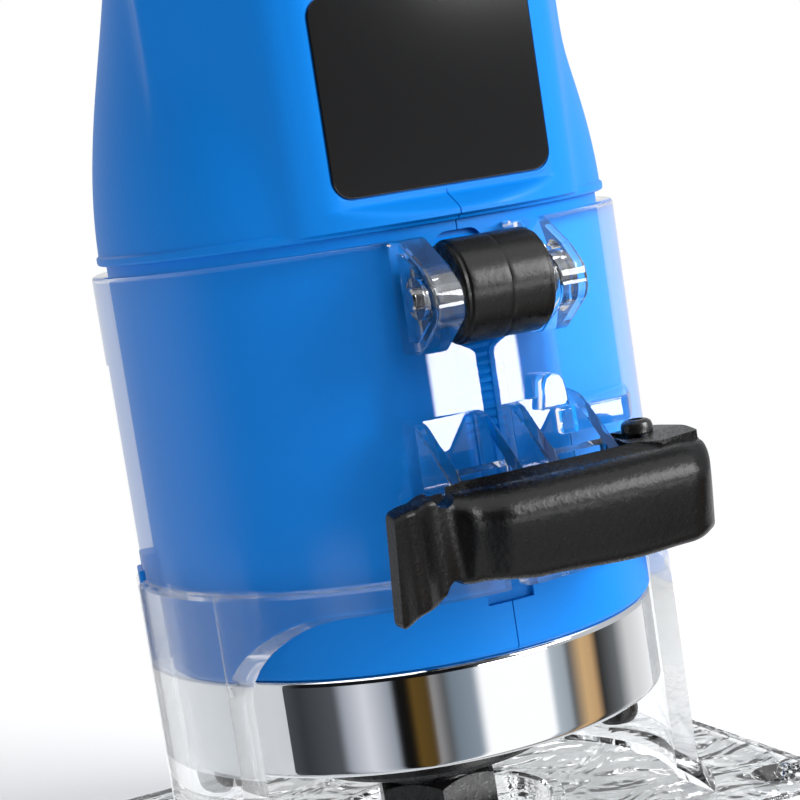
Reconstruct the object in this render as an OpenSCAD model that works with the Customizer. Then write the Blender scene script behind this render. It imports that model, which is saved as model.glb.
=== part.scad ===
// Trim router: a motor unit that slides in a clear base, with a depth roller and a cam clamp.
// Origin: on the spindle axis at the underside of the base plate.
// +Z runs up the spindle axis, -Y is the front with the clamp, +X is to the right of the front.

/* [Base plate] */
// Width of the base plate, left to right
plate_w = 92; // [88:1:104]
// Distance from the spindle axis to the back edge of the base plate
plate_back = 46; // [42:1:60]
// Distance from the spindle axis to the front edge of the base plate
plate_front = 30; // [28:1:44]
// Thickness of the base plate
plate_t = 4; // [3:0.5:5]
// Radius of the base plate's corners
plate_corner_r = 7; // [3:0.5:8]
// Radius of the opening that the cutter goes through
opening_r = 15; // [13:0.5:17]
// Distance of the accessory holes from the plate's sides
hole_side = 6; // [4.5:0.1:8]
// Distance between the front and the back accessory hole
hole_pitch_y = 56; // [48:1:60]
// Distance from the spindle axis to the front accessory holes
hole_front = 22; // [18:0.5:24]
// Radius of an accessory hole
hole_r = 2.2; // [1.6:0.1:2.7]
// Radius of the countersink of an accessory hole
sink_r = 3.8; // [3:0.1:4.2]

/* [Sleeve] */
// Height of the sleeve's rim above the bench
sleeve_h = 83; // [80:0.5:90]
// Gap between the motor's skirt and the sleeve around it
sleeve_gap = 0.3; // [0.2:0.05:0.5]
// Wall of the upper part of the sleeve
sleeve_wall = 1.8; // [1.5:0.1:2.2]
// Wall of the legs under the sleeve
leg_wall = 2.7; // [2.4:0.1:3.4]
// Height above the bench of the step where the legs' wall begins
band_z = 43.3; // [42:0.1:44]
// Half width of the window in front
window_half = 29.8; // [26:0.2:31]
// Half width of the window behind
rear_half = 22; // [16:0.5:26]
// Height of the windows' top above the bench
window_top = 40; // [36:0.5:41]
// Radius of the windows' top corners
window_r = 7; // [3:0.5:10]
// How far the legs' feet flare out at the plate
foot_flare = 3; // [1:0.5:5]
// Width of the split down the front of the sleeve
split_w = 2.4; // [1.6:0.1:3]
// Half width of the flat pad on the front of the sleeve
pad_half = 9.3; // [8.6:0.1:10.5]
// How far the pad's face stands out past the sleeve
pad_out = 0.4; // [0.2:0.1:1]

/* [Depth roller] */
// Radius of the depth roller
roller_r = 6.1; // [5.5:0.1:6.8]
// Width of the depth roller
roller_w = 11.4; // [10:0.2:12]
// Height of the roller's axle below the sleeve's rim
axle_drop = 6.7; // [6:0.1:8]
// Radius of the roller's axle
axle_r = 1.4; // [1.1:0.1:1.8]
// Gap between the roller and the motor's skirt
roller_gap = 0.3; // [0.2:0.05:0.5]
// Gap between the roller's ends and the ears
ear_gap = 0.4; // [0.3:0.1:0.8]
// Thickness of the ears that carry the axle
ear_t = 3.6; // [3:0.1:4]
// Thickness of the web inside each ear
ear_web = 1.6; // [1.2:0.1:2]
// Width of the rim around each ear's recess
ear_rim = 1.3; // [1:0.1:1.6]
// How far the ears reach in front of the axle
ear_nose = 6; // [5:0.2:7]
// How far the ears reach below the axle
ear_drop = 6.6; // [6:0.2:7.6]

/* [Clamp] */
// Height of the tension bolt above the bench
bolt_z = 50.2; // [49.5:0.1:51]
// Distance from the pad's face to the tension bolt's axis
bolt_reach = 6.3; // [6:0.1:7]
// Radius of the tension bolt
bolt_r = 2; // [1.5:0.1:2.2]
// Distance from the middle to the outer face of each lug
lug_out = 11; // [10:0.1:11.6]
// How far the lugs stand out from the pad's face
lug_reach = 9.8; // [9:0.1:10.4]
// Height above the bench of the lugs' underside
lug_z0 = 43.8; // [43.4:0.1:45]
// Height above the bench of the lugs' front edge
lug_z1 = 56; // [55:0.1:57]
// Height above the bench where the lugs' ramps meet the pad
lug_z2 = 62.4; // [60:0.2:64]
// Thickness of the lugs' side walls
lug_web = 1.7; // [1.3:0.1:2]
// Distance from the lug's face to the lever's pivot
pivot_out = 4.2; // [4:0.1:5]
// Radius of the lever's pivot screw
pin_r = 1.5; // [1.2:0.1:1.8]
// Radius of the pivot screw's head
pin_head_r = 1.9; // [1.9:0.1:2.4]
// Height of the lever
lever_h = 11.8; // [11:0.2:12.4]
// Height of the lever's underside above the bench
lever_z0 = 44.5; // [44:0.1:45]
// Distance from the pivot to the lever's front face
lever_front = 9.8; // [9:0.1:11]
// Thickness of the lever's bar
lever_t = 5.2; // [4:0.1:5.6]
// Length of the lever's bar from the pivot to the neck
lever_len = 28.4; // [27:0.2:32]
// Length of the finger tab past the neck
tab_len = 8; // [6:0.5:11]
// How far the finger tab flares forward
tab_flare = 3.4; // [2:0.2:5]
// How far the finger tab hangs below the lever's bar
tab_drop = 1.8; // [0:0.2:2.4]

/* [Motor housing] */
// Radius of the housing's skirt, which slides in the sleeve
skirt_r = 32.2; // [31.4:0.1:33]
// Height of the housing's skirt, from the nose ring to the shoulder
skirt_h = 52.2; // [51.6:0.1:53]
// Gap between the sleeve's rim and the shoulder at rest
shoulder_gap = 1.2; // [1:0.1:2]
// How far the shoulder stands out from the skirt
shoulder_out = 1.1; // [1:0.1:1.8]
// Wall of the housing
housing_wall = 2.3; // [2:0.1:2.6]
// Height of the waist above the shoulder
waist_h = 53; // [50:1:58]
// Radius of the waist
waist_r = 24.6; // [24:0.2:26]
// Height of the head above the waist, up to the top cap
head_h = 42; // [34:1:46]
// Radius of the head at the top cap
head_r = 26.6; // [26:0.2:28]
// How far the flat front face lies behind the skirt
face_step = 1.2; // [0.8:0.1:1.8]
// Half width of the flat front face
face_half = 14.9; // [14.6:0.1:15.2]
// Half width of the front panel, out to its creases
panel_half = 18.4; // [17:0.2:20]
// How far the creases lie behind the flat front face
crease_step = 2.4; // [1.8:0.1:3]
// Height of the front panel above the shoulder
panel_h = 31; // [30:0.5:34]
// Width of the key rib that stops the motor turning in the base
key_w = 5.4; // [4:0.2:6]
// How far the key rib stands out past the skirt
key_out = 2.5; // [1.6:0.1:2.6]
// Height of the key rib
key_h = 12; // [10:0.5:13]
// Gap on each side of the key rib in its slot
key_gap = 0.5; // [0.4:0.1:0.8]
// Width of the rack in the front of the skirt
rack_w = 6.2; // [5:0.2:7]
// Pitch of the rack's teeth
rack_pitch = 1.05; // [0.9:0.05:1.4]
// Depth of the rack's recess
rack_depth = 1; // [0.8:0.1:1.2]
// Travel of the motor up the base
motor_travel = 24; // [20:1:26]

/* [Rating plate] */
// Width of the rating plate
label_w = 28.4; // [24:0.2:29]
// Height of the rating plate
label_h = 23.4; // [20:0.2:24]
// Thickness of the rating plate
label_t = 0.5; // [0.3:0.1:0.8]
// Gap around the rating plate in its recess
label_gap = 0.15; // [0.1:0.05:0.3]
// Height of the rating plate's lower edge above the shoulder
label_z = 4.2; // [4:0.1:5]
// Corner radius of the rating plate
label_r = 2.4; // [1:0.2:4]

/* [Top] */
// Height of the domed top cap
cap_h = 20; // [18:1:22]
// Wall of the top cap
cap_wall = 2.4; // [2:0.1:3]
// Height that the cord inlet stands above the top cap
inlet_h = 6.8; // [5:0.2:9]
// Radius of the cord inlet
inlet_r = 6.4; // [5.5:0.1:7.5]
// Radius of the hole in the cord inlet
inlet_bore_r = 3.6; // [3:0.1:4]
// Width of the switch's slider
slider_w = 11; // [9:0.5:12]
// Height of the switch's slider
slider_h = 15; // [12:0.5:16]
// How far the slider stands out of its recess
slider_out = 3.2; // [2.5:0.1:4]
// Travel of the slider
slider_travel = 5; // [3:0.5:6]
// Number of vent slots on each side
vents = 5; // [3:1:7]
// Width of a vent slot
vent_w = 2; // [1.6:0.1:2.4]

/* [Nose] */
// How far the nose ring lies inside the skirt
ring_step = 0.2; // [0:0.1:0.8]
// Height of the nose ring
ring_h = 12.4; // [12:0.1:13]
// Chamfer along the nose ring's edges
ring_chamfer = 0.5; // [0.3:0.1:0.8]
// Radius of the bearing cover under the ring
cover_r = 16.5; // [15.6:0.1:18]
// Height of the bearing cover
cover_h = 5.9; // [5.5:0.1:6.1]
// Radius of the hole in the bearing cover
cover_bore_r = 9; // [8.8:0.1:10]
// Distance of the nose screws inside the skirt
nose_screw_in = 4.2; // [4.1:0.1:4.6]
// Radius of a nose screw's head
nose_head_r = 2.8; // [2.4:0.1:3]
// Height of a nose screw's head
nose_head_h = 2.8; // [2:0.1:3.2]
// Radius of a nose screw's shank
nose_screw_r = 1.5; // [1.2:0.1:1.7]

/* [Spindle] */
// Radius of the spindle at the lower bearing
journal_r = 5; // [4.6:0.1:5.5]
// Radius of the spindle inside the armature
shaft_r = 4; // [3.8:0.1:4.5]
// Radius of the spindle at the upper bearing
tail_r = 3.5; // [3:0.1:3.7]
// Radius of the spindle's threaded end
thread_r = 6.4; // [6:0.1:6.6]
// Distance across the flats of the collet nut
nut_af = 15; // [14.6:0.2:17]
// Height of the collet nut
nut_h = 9.4; // [8.6:0.1:9.6]
// How far the collet nut's lower end lies below the nose ring
nut_drop = 18.4; // [17.8:0.1:18.6]
// Running gap between the collet nut and the spindle's thread
thread_gap = 0.08; // [0.05:0.01:0.1]
// Radius of the collet's bore
collet_bore_r = 3; // [2.5:0.1:3.2]
// Length of the collet's bore
collet_len = 17; // [15:0.5:19]
// Radius of the slinger above the collet nut
slinger_r = 8.4; // [7.6:0.1:8.6]

/* [Bearings] */
// Outer radius of the lower bearing
low_bearing_r = 13; // [12:0.1:14]
// Width of the lower bearing
low_bearing_w = 8; // [7:0.1:8]
// Number of balls in the lower bearing
low_balls = 8; // [6:1:9]
// Outer radius of the upper bearing
up_bearing_r = 9.5; // [9:0.1:11]
// Width of the upper bearing
up_bearing_w = 6; // [5:0.1:7]
// Number of balls in the upper bearing
up_balls = 7; // [6:1:8]
// Gap between a ball and its grooves
ball_gap = 0.02; // [0.01:0.01:0.05]

/* [Motor inside] */
// Height of the fan
fan_h = 8; // [6:0.5:8.5]
// Radius of the fan
fan_r = 23; // [20:0.5:23.5]
// Number of fan blades
fan_blades = 12; // [8:1:16]
// Clearance between the stator and the skirt's inside
stator_gap = 1.3; // [0.9:0.1:2]
// Height of the stator
stator_h = 36; // [32:1:38]
// Height of the stator above the ledge that holds the baffle
stator_lift = 8; // [0:0.5:9]
// Radius of the stator's bore
stator_bore_r = 16; // [15:0.5:17]
// Height that the field coils stand past each end of the stator
coil_h = 6; // [4:0.5:7]
// Air gap between the armature and the stator
air_gap = 0.5; // [0.4:0.1:0.8]
// Number of armature slots
armature_slots = 12; // [8:1:14]
// Radius of the commutator
commutator_r = 10; // [9:0.2:11]
// Height of the commutator
commutator_h = 13; // [11:0.5:14]
// Distance from the coils up to the commutator
commutator_gap = 12; // [2:0.5:13]
// Width of a carbon brush
brush_w = 6; // [5:0.5:7]
// Length of a carbon brush
brush_len = 9; // [7:0.5:10]
// Radius of a brush cap
brush_cap_r = 5.5; // [5.3:0.1:6.5]
// Thickness of a brush cap
brush_cap_t = 2.4; // [1.8:0.1:3]

/* [Hidden] */
$fn = 96;
eps = 0.01;
far = 200;

// Base
hole_pitch_x = plate_w - 2 * hole_side;
sleeve_in = skirt_r + sleeve_gap;
sleeve_out = sleeve_in + sleeve_wall;
leg_out = sleeve_in + leg_wall;
pad_y = sleeve_out + pad_out;
pad_root = pad_half + 2;
rim_r = opening_r + 2;
rim_h = 1;
foot_h = 5;
sink_h = sink_r - hole_r;
hole_y0 = -hole_front;
hole_y1 = hole_pitch_y - hole_front;

// Roller and ears
axle_y = skirt_r + roller_gap + roller_r;
axle_z = sleeve_h - axle_drop;
ear_in = roller_w / 2 + ear_gap;
ear_out = ear_in + ear_t;
axle_end = ear_out + 0.6;
axle_clear = 0.05;
roller_window = ear_in;
roller_cut_z = axle_z - ear_drop - 0.6;
funnel_h = 2;
flange_w = 1;
flange_step = 0.6;
axle_groove_w = 0.6;
axle_groove_d = 0.35;
rack_z0 = axle_z - 2 * roller_r - 6;
rack_bite = 0.5;

// Clamp
bolt_y = pad_y + bolt_reach;
lug_y = pad_y + lug_reach;
lug_in = split_w / 2 + 0.4;
lug_floor = 2.2;
bolt_clear = 0.15;
pivot_x = lug_out + pivot_out;
clamp_nut_af = 7;
clamp_nut_t = 3.2;
eye_r = 3.4;
eye_h = 2 * bolt_r + 0.4;
eye_gap = 0.35;
pin_clear = 0.05;
pin_tail = 1.6;
pin_head_h = 1.5;
socket_r = 1.05;
lever_z1 = lever_z0 + lever_h;
lever_mid = (lever_z0 + lever_z1) / 2;
cam_r = pivot_out - 0.3;
lever_end = cam_r + 2;
lever_round = 3;
crown = 0.9;
neck_w = 2;
neck_t = 3;
tab_t = 3;
notch_r = 1.5;
shelf_z0 = lever_z1 + 0.7;
shelf_t = 3.2;
shelf_x = pivot_x + 4.6;
shelf_y = pad_y + 1.6;

// Motor, bottom to top
z_shoulder = sleeve_h + shoulder_gap;
z_ring_top = z_shoulder - skirt_h;
z_ring = z_ring_top - ring_h;
z_waist = z_shoulder + waist_h;
z_head = z_waist + head_h;
z_cap = z_head + cap_h;
z_panel = z_shoulder + panel_h;
skirt_in = skirt_r - housing_wall;
shoulder_r = skirt_r + shoulder_out;
face_y = skirt_r - face_step;
crease_y = face_y - crease_step;
z_label = z_shoulder + label_z;
face_z0 = z_label - 1;
panel_side = [skirt_r - 3.8, 12.2];
panel_back = [skirt_r - 9.7, -9.5];
stator_r = skirt_in - stator_gap;
panel_env_r = norm([panel_half, crease_y]) + 0.2;
panel_wall = 1.6;
face_in = max(stator_r + 0.3, face_y - label_t - panel_wall);
shoulder_t = 1.2;
steps = 14;
ring_r = skirt_r - ring_step;
nose_screw_pcd = skirt_r - nose_screw_in;
ring_plate = 3;
spigot_h = 3;
spigot_gap = 0.1;
spigot_t = 2;
z_low_bearing = z_ring + ring_plate;
z_low_top = z_low_bearing + low_bearing_w;
hub_wall = 3;
z_fan = z_ring_top + spigot_h + 1.4;
z_baffle = z_fan + fan_h + 1.6;
baffle_t = 1.4;
ledge = 1.8;
ledge_t = 1.6;
z_stator = z_baffle + baffle_t + ledge_t + coil_h + 1 + stator_lift;
z_stator_top = z_stator + stator_h;
armature_r = stator_bore_r - air_gap;
z_commutator = z_stator_top + coil_h + commutator_gap;
z_brush = z_commutator + commutator_h / 2;
z_up_bearing = z_commutator + commutator_h + 4;
z_up_top = z_up_bearing + up_bearing_w;
web_t = up_bearing_w + 1.5;
z_web = z_up_bearing - 1.5;
seat_lip = 1.4;
wind_r = armature_r - 2.6;
slot_w = 2.2;
slot_d = 2;
segments = 24;
segment_gap = 0.5;
fan_hub_r = 8;
fan_disc_t = 1.4;
blade_t = 1;
air_hole_r = 3.2;
air_circle_r = skirt_in - 7.9;
air_angle = 17.5;
key_angle = -104;
key_step = 0.6;
key_step_h = 2;
key_lift = 0.6;
key_slot_z0 = plate_t + foot_h + 1;
key_slot_z1 = z_ring_top + key_lift + key_h + key_step_h + motor_travel + 1;
screw_angles = [37.5, 157.5, -82.5];
post_r = 3;
post_h = 9;

// Spindle, bottom to top
z_nut = z_ring - nut_drop;
z_nut_top = z_nut + nut_h;
nut_floor = 2.4;
z_thread = z_nut + nut_floor + 0.5;
z_slinger = z_nut_top + 0.5;
z_slinger_top = z_ring - cover_h + 2;
spindle_bore_r = collet_bore_r + 1.2;
collet_gap = 0.05;
z_collet = z_nut + 0.6;
z_collet_top = z_collet + collet_len;
collet_slit = 0.6;
collet_slit_z = 5;
collet_slit_h = 5;
nut_mouth_r = collet_bore_r + 0.9;
nut_angle = 12;
collar_h = 2;

// Brushes and screws
brush_gap = 0.2;
holder_t = 1.6;
holder_out = body_r_at(z_brush) - brush_cap_t;
spring_r = 2;
spring_wire = 0.45;
case_screw_r = 1.3;
case_head_r = 2.8;
case_head_h = 2;
case_boss_r = 3.6;
case_screw_spots = [[15, z_waist + 3], [15, z_head - 7], [-15, z_waist - 2]];
case_sink = 13;

// Switch
z_slider = z_waist + 10;
slider_y = waist_r - 2.2;
slider_gap = 0.3;
recess_gap = 0.8;
stem_w = 4;
stem_h = 5;
switch_w = 16;
switch_t = 11;
switch_h = 20;
vent_h = 12;
vent_drop = 4;
vent_angle = 62;
vent_step = 12;
slider_grooves = 5;
slider_groove = 0.7;

// Radius of the upper body between the shoulder and the waist, a half wave of a cosine
function taper_r(z) =
    waist_r + (shoulder_r - 0.3 - waist_r) * (1 + cos(180 * (z - z_shoulder) / waist_h)) / 2;

// Radius of the head above the waist
function swell_r(z) = waist_r + (head_r - waist_r) * (1 - cos(180 * (z - z_waist) / head_h)) / 2;

// Outer radius of the upper body at any height
function body_r_at(z) = z < z_waist ? taper_r(z) : swell_r(z);

// Outline points of the upper body, moved inwards by a wall
function body_points(wall) = [
    for (i = [0 : 2 * steps])
        let (z = z_shoulder + shoulder_t + (z_head - z_shoulder - shoulder_t) * i / (2 * steps))
            [body_r_at(z) - wall, z]
];

// Points of an arc about a centre
function arc(c, r, a0, a1, n) = [
    for (i = [0 : n])
        let (a = a0 + (a1 - a0) * i / n)
            [c[0] + r * cos(a), c[1] + r * sin(a)]
];

// Turns a child to stand at an angle round the axis, measured from the front towards the right
module at_angle(a) {
    rotate([0, 0, a]) children();
}

module rounded_rect(x0, x1, y0, y1, r) {
    translate([x0 + r, y0]) square([x1 - x0 - 2 * r, y1 - y0]);
    translate([x0, y0 + r]) square([x1 - x0, y1 - y0 - 2 * r]);
    for (x = [x0 + r, x1 - r], y = [y0 + r, y1 - r]) translate([x, y]) circle(r = r);
}

module tube(r_out, r_in, z0, z1) {
    translate([0, 0, z0]) difference() {
        cylinder(r = r_out, h = z1 - z0);
        translate([0, 0, -1]) cylinder(r = r_in, h = z1 - z0 + 2);
    }
}

module x_cylinder(r, x0, x1, y, z) {
    translate([x0, y, z]) rotate([0, 90, 0]) cylinder(r = r, h = x1 - x0);
}

// Extrudes a [y, z] outline from x0 to x1
module x_prism(x0, x1, points) {
    translate([x0, 0, 0]) rotate([90, 0, 90]) linear_extrude(height = x1 - x0) polygon(points);
}

module hexagon(af, h) {
    cylinder(r = af / sqrt(3), h = h, $fn = 6);
}

// ---------------------------------------------------------------- base

module plate_solid() {
    linear_extrude(height = plate_t)
        rounded_rect(-plate_w / 2, plate_w / 2, -plate_front, plate_back, plate_corner_r);
}

module pad_solid() {
    translate([0, 0, window_top]) linear_extrude(height = sleeve_h - window_top) polygon([
        [-pad_root, -sleeve_in + 2],
        [-pad_root, -sqrt(sleeve_out * sleeve_out - pad_root * pad_root)],
        [-pad_half, -pad_y],
        [pad_half, -pad_y],
        [pad_root, -sqrt(sleeve_out * sleeve_out - pad_root * pad_root)],
        [pad_root, -sleeve_in + 2]
    ]);
}

module ear_outline(inset) {
    root = sleeve_in - 1;
    points = [
        [-root, sleeve_h],
        [-pad_y - 1.6, sleeve_h],
        [-axle_y - ear_nose * 0.5, axle_z + ear_nose * 0.6],
        [-axle_y - ear_nose, axle_z + 0.6],
        [-axle_y - ear_nose, axle_z - 2],
        [-axle_y + 0.6, axle_z - ear_drop],
        [-root, axle_z - ear_drop]
    ];
    middle = [-axle_y + 1, axle_z + 0.2];
    scale_to = 1 - inset / ear_nose;
    polygon([for (p = points) middle + (p - middle) * scale_to]);
}

module ear() {
    difference() {
        translate([ear_in, 0, 0]) rotate([90, 0, 90])
            linear_extrude(height = ear_t) ear_outline(0);
        translate([ear_in + ear_web, 0, 0]) rotate([90, 0, 90])
            linear_extrude(height = ear_t) intersection() {
                ear_outline(ear_rim);
                translate([-axle_y - ear_nose, 0]) square([axle_y + ear_nose - pad_y, far]);
            }
    }
    x_cylinder(axle_r + 1.2, ear_in + ear_web - eps, ear_out - 0.5, -axle_y, axle_z);
}

module lug() {
    ramp = [
        [-sleeve_in + 1, lug_z0],
        [-lug_y, lug_z0],
        [-lug_y, lug_z1],
        [-pad_y, lug_z2],
        [-sleeve_in + 1, lug_z2]
    ];
    difference() {
        x_prism(lug_in, lug_out, ramp);
        // the cored pocket, open at the top
        translate([lug_in + lug_web, -lug_y + lug_floor, bolt_z + bolt_r + lug_web])
            cube([lug_out - lug_in - 2 * lug_web, lug_reach - lug_floor, far]);
    }
}

module shelf() {
    translate([0, 0, shelf_z0]) linear_extrude(height = shelf_t) polygon([
        [pad_half, -sleeve_in],
        [pad_half, -shelf_y],
        [shelf_x - 3, -shelf_y],
        [shelf_x, -shelf_y + 4],
        [shelf_x + 4, -sleeve_in + 8],
        [shelf_x, -sleeve_in + 8]
    ]);
}

// A window through the sleeve towards the front, seen square on
module window(half) {
    rotate([90, 0, 0]) translate([0, 0, sleeve_in / 3]) linear_extrude(height = far) {
        translate([-half, plate_t]) square([2 * half, window_top - window_r - plate_t]);
        translate([-half + window_r, plate_t])
            square([2 * (half - window_r), window_top - plate_t]);
        for (x = [-half + window_r, half - window_r])
            translate([x, window_top - window_r]) circle(r = window_r);
    }
}

module base_solids() {
    plate_solid();
    translate([0, 0, plate_t]) {
        cylinder(r = sleeve_out, h = sleeve_h - plate_t);
        cylinder(r = leg_out, h = band_z - plate_t);
        cylinder(r1 = leg_out + foot_flare, r2 = leg_out, h = foot_h);
    }
    pad_solid();
    shelf();
    for (side = [0, 1]) mirror([side, 0, 0]) {
        ear();
        lug();
    }
}

module base_cuts() {
    // the hollow of the sleeve and the two windows, all round the opening's rim
    difference() {
        union() {
            translate([0, 0, plate_t]) cylinder(r = sleeve_in, h = far);
            window(window_half);
            rotate([0, 0, 180]) window(rear_half);
        }
        cylinder(r = rim_r, h = plate_t + rim_h);
    }
    translate([0, 0, -1]) cylinder(r = opening_r, h = far);
    // the split, the funnel above it and the roller's window
    translate([-split_w / 2, -far, window_top - 1]) cube([split_w, far, far]);
    translate([-roller_window, -far, roller_cut_z + funnel_h])
        cube([2 * roller_window, far, far]);
    translate([0, 0, roller_cut_z]) rotate([90, 0, 0]) linear_extrude(height = far) polygon([
        [-split_w / 2, 0],
        [split_w / 2, 0],
        [roller_window, funnel_h + eps],
        [-roller_window, funnel_h + eps]
    ]);
    // the slot for the motor's key rib
    at_angle(key_angle) translate([-key_w / 2 - key_gap, -leg_out - 1, key_slot_z0])
        cube([key_w + 2 * key_gap, leg_out - sleeve_in + 3, key_slot_z1 - key_slot_z0]);
    for (x = [-hole_pitch_x / 2, hole_pitch_x / 2], y = [hole_y0, hole_y1]) translate([x, y, 0]) {
        translate([0, 0, -1]) cylinder(r = hole_r, h = far / 2);
        translate([0, 0, plate_t - sink_h]) cylinder(r1 = hole_r, r2 = sink_r, h = sink_h + eps);
    }
    x_cylinder(bolt_r + bolt_clear, -far / 2, far / 2, -bolt_y, bolt_z);
    x_cylinder(axle_r, -far / 2, far / 2, -axle_y, axle_z);
}

module base() {
    color([0.86, 0.9, 0.92, 0.55]) difference() {
        base_solids();
        base_cuts();
    }
}

// ---------------------------------------------------------------- depth roller

module roller() {
    color([0.07, 0.07, 0.07]) difference() {
        union() {
            x_cylinder(roller_r, -roller_w / 2 + flange_w, roller_w / 2 - flange_w, -axle_y, axle_z);
            x_cylinder(roller_r - flange_step, -roller_w / 2, roller_w / 2, -axle_y, axle_z);
        }
        x_cylinder(axle_r + axle_clear, -roller_w, roller_w, -axle_y, axle_z);
    }
}

module roller_axle() {
    color([0.75, 0.75, 0.77]) difference() {
        x_cylinder(axle_r, -axle_end, axle_end, -axle_y, axle_z);
        for (side = [-1, 1]) translate([side * (axle_end - 2 * axle_groove_w), -axle_y, axle_z])
            rotate([0, 90, 0]) difference() {
                cylinder(r = axle_r + 1, h = axle_groove_w, center = true);
                cylinder(r = axle_r - axle_groove_d, h = 2, center = true);
            }
    }
}

// ---------------------------------------------------------------- clamp

module tension_bolt() {
    color([0.6, 0.6, 0.62]) difference() {
        union() {
            x_cylinder(bolt_r, -lug_out - clamp_nut_t - 1, pivot_x - (eye_r + pin_r) / 2, -bolt_y, bolt_z);
            translate([pivot_x, -bolt_y, bolt_z - eye_h / 2]) cylinder(r = eye_r, h = eye_h);
        }
        translate([pivot_x, -bolt_y, 0]) cylinder(r = pin_r, h = far);
    }
}

module clamp_nut() {
    color([0.12, 0.12, 0.12]) translate([-lug_out, -bolt_y, bolt_z]) rotate([0, -90, 0])
        difference() {
            hexagon(clamp_nut_af, clamp_nut_t);
            translate([0, 0, -1]) cylinder(r = bolt_r, h = clamp_nut_t + 2);
        }
}

module pivot_screw() {
    color([0.12, 0.12, 0.12]) translate([pivot_x, -bolt_y, 0]) difference() {
        union() {
            translate([0, 0, lever_z0 + pin_tail]) cylinder(r = pin_r, h = lever_h - pin_tail);
            translate([0, 0, lever_z1]) cylinder(r = pin_head_r, h = pin_head_h);
        }
        translate([0, 0, lever_z1 + pin_head_h / 2]) cylinder(r = socket_r, h = far, $fn = 6);
    }
}

// Plan outline of the bar and head, about the pivot
module lever_plan() {
    polygon(concat(
        arc([0, 0], cam_r, 60, 180, 16),
        [[-cam_r, -lever_front + lever_t]],
        [[-lever_len, -lever_front + lever_t]],
        [[-lever_len, -lever_front + crown]],
        arc([lever_end - lever_round, -lever_front + lever_round], lever_round, -90, 0, 8),
        [[lever_end, -1]],
        [[cam_r * cos(30), cam_r * sin(30)]]
    ));
}

// Plan outline of the neck and the finger tab, about the pivot
module tab_plan() {
    x0 = -lever_len;
    x1 = x0 - neck_w;
    x2 = x1 - tab_len;
    yb = -lever_front + lever_t - 1;
    polygon([
        [x0 + eps, yb],
        [x0 + eps, yb - neck_t],
        [x1, yb - neck_t],
        [x2, yb - neck_t - tab_flare],
        [x2, yb - neck_t - tab_flare + tab_t - 1],
        [x1, yb]
    ]);
}

// Crowned section of the bar
module bar_section() {
    y0 = -bolt_y - lever_front;
    r = 2.6;
    x_prism(-far / 2, far / 2, concat(
        [[0, lever_z0], [0, lever_z1]],
        arc([y0 + r, lever_z1 - r], r, 90, 165, 6),
        [[y0, lever_mid]],
        arc([y0 + r, lever_z0 + r], r, 195, 270, 6)
    ));
}

module clamp_lever() {
    color([0.09, 0.09, 0.09]) difference() {
        union() {
            intersection() {
                translate([pivot_x, -bolt_y, lever_z0]) linear_extrude(height = lever_h) lever_plan();
                bar_section();
            }
            translate([pivot_x, -bolt_y, lever_z0 - tab_drop])
                linear_extrude(height = lever_h + tab_drop - 0.6) tab_plan();
        }
        // room for the eye and the shank of the tension bolt, over the whole swing
        translate([pivot_x, -bolt_y, bolt_z - eye_h / 2 - eye_gap]) {
            cylinder(r = eye_r + eye_gap, h = eye_h + 2 * eye_gap);
            translate([-far / 2, -bolt_r - eye_gap, 0]) cube([far, far, eye_h + 2 * eye_gap]);
        }
        translate([pivot_x, -bolt_y, lever_z0 + pin_tail - eye_gap])
            cylinder(r = pin_r + pin_clear, h = far);
        // notches at the neck, above and below
        for (z = [lever_z0 - tab_drop, lever_z1]) translate([pivot_x - lever_len - neck_w / 2, 0, z])
            rotate([90, 0, 0]) cylinder(r = notch_r, h = far);
    }
}

// ---------------------------------------------------------------- housing

module housing_outer() {
    rotate_extrude() polygon(concat(
        [[0, z_ring_top], [skirt_r, z_ring_top], [skirt_r, z_shoulder]],
        [[shoulder_r, z_shoulder], [shoulder_r, z_shoulder + shoulder_t]],
        body_points(0),
        [[0, z_head]]
    ));
    // the faceted front panel, which a cone blends into the waist
    intersection() {
        translate([0, 0, z_shoulder]) linear_extrude(height = waist_h) polygon([
            [-panel_back[0], -panel_back[1]],
            [-panel_side[0], -panel_side[1]],
            [-panel_half, -crease_y],
            [-face_half, -face_y],
            [face_half, -face_y],
            [panel_half, -crease_y],
            [panel_side[0], -panel_side[1]],
            [panel_back[0], -panel_back[1]]
        ]);
        union() {
            translate([0, 0, z_shoulder]) cylinder(r = panel_env_r, h = panel_h);
            translate([0, 0, z_panel])
                cylinder(r1 = panel_env_r, r2 = waist_r - 0.5, h = waist_h - panel_h);
        }
    }
    // the key rib, stepped at its top
    at_angle(key_angle) translate([-key_w / 2, 0, z_ring_top + key_lift]) {
        translate([0, -skirt_r - key_out, 0]) cube([key_w, 6, key_h]);
        translate([0, -skirt_r - key_out + key_step, 0]) cube([key_w, 6, key_h + key_step_h]);
    }
}

module rack_teeth() {
    count = floor((z_shoulder - 2 - rack_z0) / rack_pitch);
    z0 = rack_z0;
    root = skirt_r - rack_depth;
    x_prism(-rack_w / 2, rack_w / 2, concat(
        [[-root + 1, z0]],
        [for (i = [0 : count - 1]) for (k = [0, 1]) [-root - rack_bite * k, z0 + (i + k / 2) * rack_pitch]],
        [[-root, z0 + count * rack_pitch], [-root + 1, z0 + count * rack_pitch]]
    ));
}

module housing_inner() {
    difference() {
        rotate_extrude() polygon(concat(
            [[0, z_ring_top - 1], [skirt_in, z_ring_top - 1], [skirt_in, z_shoulder + shoulder_t]],
            body_points(housing_wall),
            [[0, z_head + 1]]
        ));
        // the wall behind the rating plate
        translate([-far / 2, -far - face_in, z_shoulder]) cube([far, far, far]);
    }
}

module case_screw_places() {
    for (p = case_screw_spots) translate([0, p[0], p[1]]) rotate([0, 90, 0]) children();
}

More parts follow.
